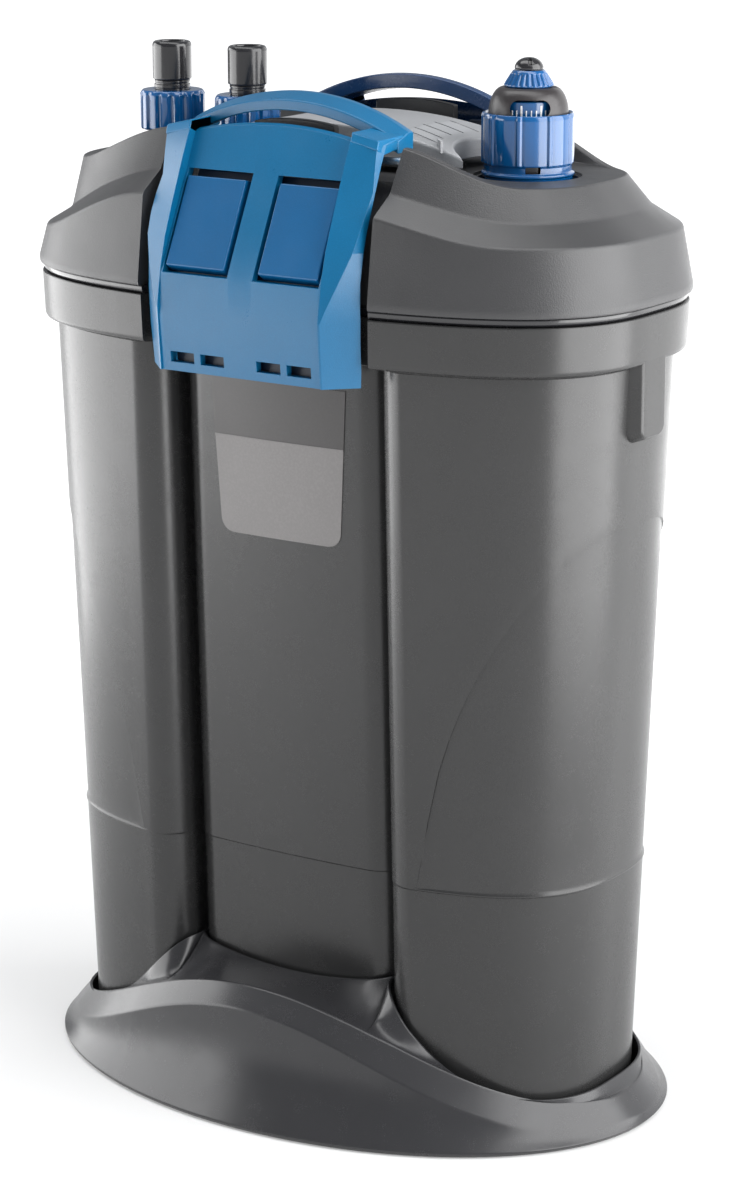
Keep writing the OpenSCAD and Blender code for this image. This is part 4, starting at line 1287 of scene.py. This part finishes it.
class FILTER_OT_heater_head(PieceOperator, bpy.types.Operator):
    """Heater head: ribbed collar, dome with dial window, dial, fluted knob and cap"""

    bl_idname = "filter.heater_head"
    bl_label = "Heater head"

    def build(self, context):
        s = sizes()
        x = mid("heater_dome").x
        self.collar(x, s.collar_ribs)
        self.dome(x)
        self.dial(x)
        self.knob(x, s.knob_flutes)
        self.cap(x)

    def collar(self, x, ribs):
        z0, z1 = 416.0, top_of("heater_collar")

        def ribbed(ang, r, z):
            if r < 18.6 or z < z0 + 5:
                return np.full(len(ang), r)
            turn = (ang - WINDOW_TURN) / (2 * np.pi) * ribs + 0.36
            off = np.abs(turn - np.round(turn)) * 2 * np.pi * 19 / ribs
            rib = 1 - ease(0.7, 1.15, off)
            valley = 1 - ease(1.15, 2.6, off)
            facet = 0.35 * (1 - (2 * np.abs(off) / (2 * np.pi * 19 / ribs)) ** 2)
            return r - 0.55 - 0.25 * valley * (1 - rib) + 0.6 * rib - facet * 0.4

        profile = [(17.45, z0 - 6), (18.9, z0 - 6), (18.9, z0 - 0.2), (19.7, z0), (19.7, z0 + 1.2),
                   (18.5, z0 + 1.7), (18.5, z0 + 4.4), (19.9, z0 + 5.1), (19.9, z0 + 5.6), (19.9, z0 + 15),
                   (19.9, z1 - 1.4), (19.3, z1), (18.1, z1), (17.45, z1 - 0.8), (17.45, z0 - 6)]
        radii = [0, 0.3, 0.3, 0.4, 0.4, 0.3, 0.3, 0.3, 0, 0, 0.8, 0.5, 0.4, 0.4, 0]
        collar = turned("heater_lock_collar", profile, ribs * 40, (x, 0), radii, ribbed, 34)
        slot_at = Matrix.Translation((x * MM, 0, 0)) @ Matrix.Rotation(WINDOW_TURN + math.radians(4), 4, "Z")
        slot = block("slot", (19, 0, z0 + 3.4), (7, 6.4, 2.9))
        slot.data.transform(slot_at)
        combine(collar, [slot])
        dress(collar, "heater_collar", finish("gloss_blue"), "heater_collar", slot="gloss_blue")

    def dome(self, x):
        r0, r1, z0, h, t = 16.9, 10.9, 441.0, 11.5, 1.5
        profile = [(r0 - t, 436.0), (r0, 436.0)]
        for k in range(13):
            a = math.radians(7.5 * k)
            profile.append((r1 + (r0 - r1) * math.cos(a), z0 + h * math.sin(a)))
        profile.append((9.6, z0 + h))
        for k in range(12, -1, -1):
            a = math.radians(7.5 * k)
            profile.append((r1 + (r0 - r1) * math.cos(a) - t, z0 + h * math.sin(a) - (t if k > 10 else 0)))
        profile.append((r0 - t, 436.0))
        radii = [0, 0.3] + [0] * 12 + [0.5, 0.4] + [0] * 14
        dome = turned("heater_dome_shell", profile, 128, (x, 0), radii[:len(profile)], sharp=50)
        cut = self.window_cutter(4.7, 3.6, 22)
        cut.data.transform(Matrix.Translation((x * MM, 0, 444.6 * MM)) @ Matrix.Rotation(WINDOW_TURN, 4, "Z"))
        combine(dome, [cut])
        round_edges(dome, 0.35, 2, 40)
        settle(dome)
        shade(dome, 40)
        dress(dome, "housing", finish("dome"), "heater_dome", slot="dome_grey")

    def window_cutter(self, half, r, reach):
        pts = []
        for cx, a0 in ((half, -90), (-half, 90)):
            for k in range(13):
                a = math.radians(a0 + 180 * k / 12)
                pts.append((cx + r * math.cos(a), r * math.sin(a)))
        n = len(pts)
        verts = [(8.0, y, z) for y, z in pts] + [(reach, y * 1.04, z * 1.04) for y, z in pts]
        faces = [tuple(range(n)), tuple(range(2 * n - 1, n - 1, -1))]
        faces += [(i, (i + 1) % n, (i + 1) % n + n, i + n) for i in range(n)]
        return make_object("window", verts, faces, 40, False)

    def dial(self, x):
        top = top_of("heater_dial")
        profile = [(3.1, 436.7), (13.0, 436.7), (13.2, 437.0), (13.2, top - 0.3), (12.9, top), (3.1, top),
                   (3.1, 436.7)]
        dial = turned("heater_dial_ring", profile, 96, (x, 0), [0, 0.2, 0.2, 0.2, 0.2, 0.2, 0])
        dress(dial, "thermostat", finish("gloss_blue"), "heater_dial", slot="gloss_blue")
        marks = []
        for k in range(40):
            a = 2 * math.pi * k / 40
            tall = 4.6 if k % 4 == 0 else 2.6
            wide = 0.75 if k % 4 == 0 else 0.45
            mark = block("mark", (13.25, 0, 441.2 + tall / 2), (0.35, wide, tall))
            mark.data.transform(Matrix.Translation((x * MM, 0, 0)) @ Matrix.Rotation(a, 4, "Z"))
            marks.append(mark)
        ticks = join("heater_dial_marks", marks, 30, False)
        dress(ticks, "thermostat", finish("mark"), slot="rotor_white")

    def knob(self, x, flutes):
        z0, z1 = 452.8, top_of("heater_knob")

        def fluted(ang, r, z):
            if r < 6.0 or z < z0 + 0.6 or z > z1 - 1.3:
                return np.full(len(ang), r)
            w = np.cos(ang * flutes)
            return r - 0.75 * np.clip((0.15 - w), 0, 1) ** 0.6 * (1 - 0.3 * (z - z0) / (z1 - z0))

        profile = [(3.1, 447.4), (8.8, 447.4), (8.8, z0 + 0.1), (10.2, z0), (10.45, z0 + 0.4),
                   (10.4, z0 + 0.8), (9.6, z0 + 2.2), (8.7, z0 + 3.6), (7.9, z0 + 4.9), (7.4, z1 - 1.1),
                   (6.9, z1 - 0.4), (6.4, z1), (3.1, z1), (3.1, 447.4)]
        knob = turned("thermostat_knob", profile, flutes * 8, (x, 0),
                      [0, 0.2, 0.2, 0.2, 0.15, 0.2, 0, 0, 0, 0.2, 0.2, 0.2, 0.2, 0], fluted, 42)
        dress(knob, "thermostat", finish("gloss_blue"), "heater_knob", slot="gloss_blue")

    def cap(self, x):
        z0, z1 = 459.8, top_of("heater_cap")
        h = z1 - z0
        profile = [(0.0, 436.0), (2.7, 436.0), (2.7, z0), (5.8, z0), (6.1, z0 + 0.3)]
        for k in range(1, 11):
            a = math.radians(8.5 * k)
            profile.append((6.1 * math.cos(a) ** 0.9, z0 + 0.3 + (h - 0.3) * math.sin(a)))
        profile.append((0.0, z1))
        cap = turned("heater_cable_cap", profile, 72, (x, 0), [0, 0, 0.2, 0.2] + [0] * 12, sharp=50)
        slot = block("slot", (4.2, 0, z1 - 1.0), (5.0, 1.3, 3.4))
        slot.data.transform(Matrix.Translation((x * MM, 0, 0)) @ Matrix.Rotation(WINDOW_TURN + 0.05, 4, "Z"))
        combine(cap, [slot])
        dress(cap, "housing", finish("gloss_black"), "heater_cap", slot="gloss_black")


# ---------------------------------------------------------------- filter media
class FILTER_OT_media(PieceOperator, bpy.types.Operator):
    """Foam blocks and fleece inside the media trays"""

    bl_idname = "filter.media"
    bl_label = "Filter media"

    def build(self, context):
        for node, look in (("foam_low", "foam_blue"), ("foam_mid", "foam_dark"), ("foam_top", "fleece")):
            lo, hi = (Vector(c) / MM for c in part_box(node))
            centre, half = (lo + hi) / 2, (hi - lo) / 2
            half = half - Vector((0.6, 0.6, 0.6))
            rows = []
            n = 96
            ang = np.linspace(0, 2 * np.pi, n, endpoint=False) + np.pi / n
            for k in range(13):
                t = -1 + 2 * k / 12
                tuck = (1 - abs(t) ** 8) ** 0.125 if abs(t) < 1 else 0.93
                tuck = max(tuck, 0.93) - 0.012 * (1 - t * t)
                c, s = np.cos(ang), np.sin(ang)
                x = centre.x + half.x * tuck * np.sign(c) * np.abs(c) ** 0.14
                y = centre.y + half.y * tuck * np.sign(s) * np.abs(s) ** 0.22
                z = centre.z + half.z * t + 0.35 * np.sin(x * 0.31) * np.sin(y * 0.27)
                rows.append(np.stack([x, y, z], 1))
            pad = skin(node + "_pad", rows, sharp=50)
            dress(pad, "housing", finish(look), node, slot=look if look != "fleece" else "fleece_white")


class FILTER_OT_inner_parts(PieceOperator, bpy.types.Operator):
    """Finishes for the frame nodes that stay as they are inside the canister"""

    bl_idname = "filter.inner_parts"
    bl_label = "Inner parts"

    looks = {
        "seal": ("foot_pads", "inlet_oring", "outlet_oring", "upper_bush", "lower_bush", "heater_seal"),
        "steel": ("head_screws", "front_latch_pin", "rear_latch_pin", "primer_spring"),
        "gloss_black": ("primer_plunger", "inlet_spigot", "outlet_spigot", "heater_socket"),
        "inner": ("head_base", "primer_cylinder", "motor_housing", "volute_cover", "outlet_duct",
                  "riser_tube", "riser_foot", "tray_low", "tray_mid", "tray_top"),
        "gloss_blue": ("tray_handle",),
        "rotor": ("impeller",),
        "ceramic": ("impeller_shaft", "heater_element"),
        "clear": ("heater_tube",),
    }

    def build(self, context):
        for look, names in self.looks.items():
            for name in names:
                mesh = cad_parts[name].data
                mesh.materials.clear()
                mesh.materials.append(finish(look))


# ---------------------------------------------------------------- stage
CAM_TURN, CAM_RISE = 33.54, 14.67
CAM_DIST = 1.5301
CAM_TARGET = (0.00411, 0.0, 0.21816)
CAM_LENS = 102.15
FLOOR_Z = -0.05


def power_prop(name, description, value):
    return bpy.props.FloatProperty(name=name, description=description, subtype="POWER", default=value,
                                   min=0.0)


class FilterStage(bpy.types.PropertyGroup):
    """Strength of the studio lights."""

    key: power_prop("Left box", "Light from the left", 12.5)
    side: power_prop("Right box", "Light from the right", 21.0)
    back: power_prop("Back box", "Light from behind", 4.5)
    top: power_prop("Top box", "Light from above", 15.0)
    sky: bpy.props.FloatProperty(name="Sky", description="Even light from all round", default=0.34, min=0.0)


# setting that holds its strength, place, point it faces, width and height
LAMPS = {
    "left_box": ("key", (-0.80, -0.52, 0.36), (0, -0.52, 0.36), (1.35, 0.75)),
    "right_box": ("side", (0.80, 0.12, 0.60), (0, 0.12, 0.60), (1.05, 1.2)),
    "back_box": ("back", (0.35, 1.0, 0.50), (0.35, 0, 0.50), (1.3, 1.0)),
    "top_box": ("top", (-0.1, -0.15, 1.55), (-0.1, -0.10, 0.3), (1.9, 0.7)),
}


class FILTER_OT_stage(PieceOperator, bpy.types.Operator):
    """Pale floor, soft boxes and the camera"""

    bl_idname = "filter.stage"
    bl_label = "Stage"

    def build(self, context):
        scene = context.scene
        s = scene.filter_stage
        self.floor()
        self.sky(scene, s.sky)
        for name, (strength, place, aim, size) in LAMPS.items():
            self.lamp(name, place, aim, size, getattr(s, strength))
        cam_data = bpy.data.cameras.new("camera")
        cam_data.sensor_width = 36
        cam_data.lens = CAM_LENS
        cam_data.clip_end = 20
        cam = bpy.data.objects.new("camera", cam_data)
        scene.collection.objects.link(cam)
        turn, rise = math.radians(CAM_TURN), math.radians(CAM_RISE)
        back = Vector((math.sin(turn) * math.cos(rise), -math.cos(turn) * math.cos(rise), math.sin(rise)))
        cam.location = Vector(CAM_TARGET) + back * CAM_DIST
        cam.rotation_euler = (-back).to_track_quat("-Z", "Y").to_euler()
        scene.camera = cam
        scene.view_settings.view_transform = "Standard"
        scene.view_settings.look = "None"

    def floor(self):
        """A round pale floor whose emission rises away from the object: a painted glow that stands in for
        light from wide lamps.
        """
        steps, reach = 96, 6000.0
        verts, faces = [(0, 0, FLOOR_Z)], []
        for radius in (300, 700, 1500, 3000, reach):
            for k in range(steps):
                a = 2 * math.pi * k / steps
                verts.append((radius * math.cos(a), radius * math.sin(a), FLOOR_Z))
        for k in range(steps):
            n = (k + 1) % steps
            faces.append((0, 1 + k, 1 + n))
            for j in range(4):
                p, q = 1 + j * steps, 1 + (j + 1) * steps
                faces.append((p + k, q + k, q + n, p + n))
        obj = make_object("floor", verts, faces, 60, False)
        f = Finish("pale_floor")
        f.link(f.blend(f.noise(6, 3, 0.5), (0.55, 0.55, 0.55, 1), (0.57, 0.57, 0.57, 1)),
               f.shader.inputs["Base Color"])
        f.set(Roughness=0.7, Specular_IOR_Level=0.2, Emission_Color=(1, 1, 1, 1))
        length = f.nodes.new("ShaderNodeVectorMath")
        length.operation = "LENGTH"
        f.link(f.place, length.inputs[0])
        # Painted glow: emission from 0.22 near the object up to 1.0 a metre out.
        f.link(f.ramp(length.outputs["Value"], 0.22, 1.0, 0.28, 1.0), f.shader.inputs["Emission Strength"])
        obj.data.materials.append(f.material)

    def sky(self, scene, strength):
        world = bpy.data.worlds.new("studio")
        world.use_nodes = True
        tree = world.node_tree
        tree.nodes.clear()
        out = tree.nodes.new("ShaderNodeOutputWorld")
        seen = tree.nodes.new("ShaderNodeBackground")
        seen.inputs["Color"].default_value = (1.0, 1.0, 1.0, 1)
        seen.inputs["Strength"].default_value = 1.0
        lit = tree.nodes.new("ShaderNodeBackground")
        lit.inputs["Color"].default_value = (0.93, 0.96, 1.0, 1)
        lit.inputs["Strength"].default_value = strength
        path = tree.nodes.new("ShaderNodeLightPath")
        mix = tree.nodes.new("ShaderNodeMixShader")
        tree.links.new(path.outputs["Is Camera Ray"], mix.inputs[0])
        tree.links.new(lit.outputs[0], mix.inputs[1])
        tree.links.new(seen.outputs[0], mix.inputs[2])
        tree.links.new(mix.outputs[0], out.inputs["Surface"])
        scene.world = world

    def lamp(self, name, place, aim, size, power):
        data = bpy.data.lights.new(name, "AREA")
        data.shape = "RECTANGLE"
        data.size, data.size_y = size
        data.energy = power
        lamp = bpy.data.objects.new(name, data)
        lamp.location = place
        lamp.visible_camera = False
        lamp.rotation_euler = (Vector(aim) - Vector(place)).to_track_quat("-Z", "Y").to_euler()
        bpy.context.scene.collection.objects.link(lamp)


OPERATORS = (
    FILTER_OT_stage,
    FILTER_OT_base_tray,
    FILTER_OT_canister,
    FILTER_OT_label,
    FILTER_OT_gasket,
    FILTER_OT_lid,
    FILTER_OT_latches,
    FILTER_OT_primer_button,
    FILTER_OT_hose_tails,
    FILTER_OT_heater_head,
    FILTER_OT_media,
    FILTER_OT_inner_parts,
)


class VIEW3D_PT_filter(bpy.types.Panel):
    """Lists the filter's building steps and their settings"""

    bl_idname = "VIEW3D_PT_filter"
    bl_label = "Canister filter"
    bl_space_type = "VIEW_3D"
    bl_region_type = "UI"
    bl_category = "Filter"

    def draw(self, context):
        scene = context.scene
        for group in (scene.filter_sizes, scene.filter_colors, scene.filter_stage):
            box = self.layout.box()
            for key in group.bl_rna.properties.keys():
                if key not in {"rna_type", "name"}:
                    box.prop(group, key)
        for op in OPERATORS:
            self.layout.operator(op.bl_idname)


CLASSES = (FilterColors, FilterSizes, FilterStage) + OPERATORS + (VIEW3D_PT_filter,)


def register():
    for cls in CLASSES:
        bpy.utils.register_class(cls)
    bpy.types.Scene.filter_colors = bpy.props.PointerProperty(type=FilterColors)
    bpy.types.Scene.filter_sizes = bpy.props.PointerProperty(type=FilterSizes)
    bpy.types.Scene.filter_stage = bpy.props.PointerProperty(type=FilterStage)


def unregister():
    del bpy.types.Scene.filter_stage
    del bpy.types.Scene.filter_sizes
    del bpy.types.Scene.filter_colors
    for cls in reversed(CLASSES):
        bpy.utils.unregister_class(cls)


def main():
    register()
    for op in OPERATORS:
        group, name = op.bl_idname.split(".")
        getattr(getattr(bpy.ops, group), name)()


if __name__ == "__main__":
    main()
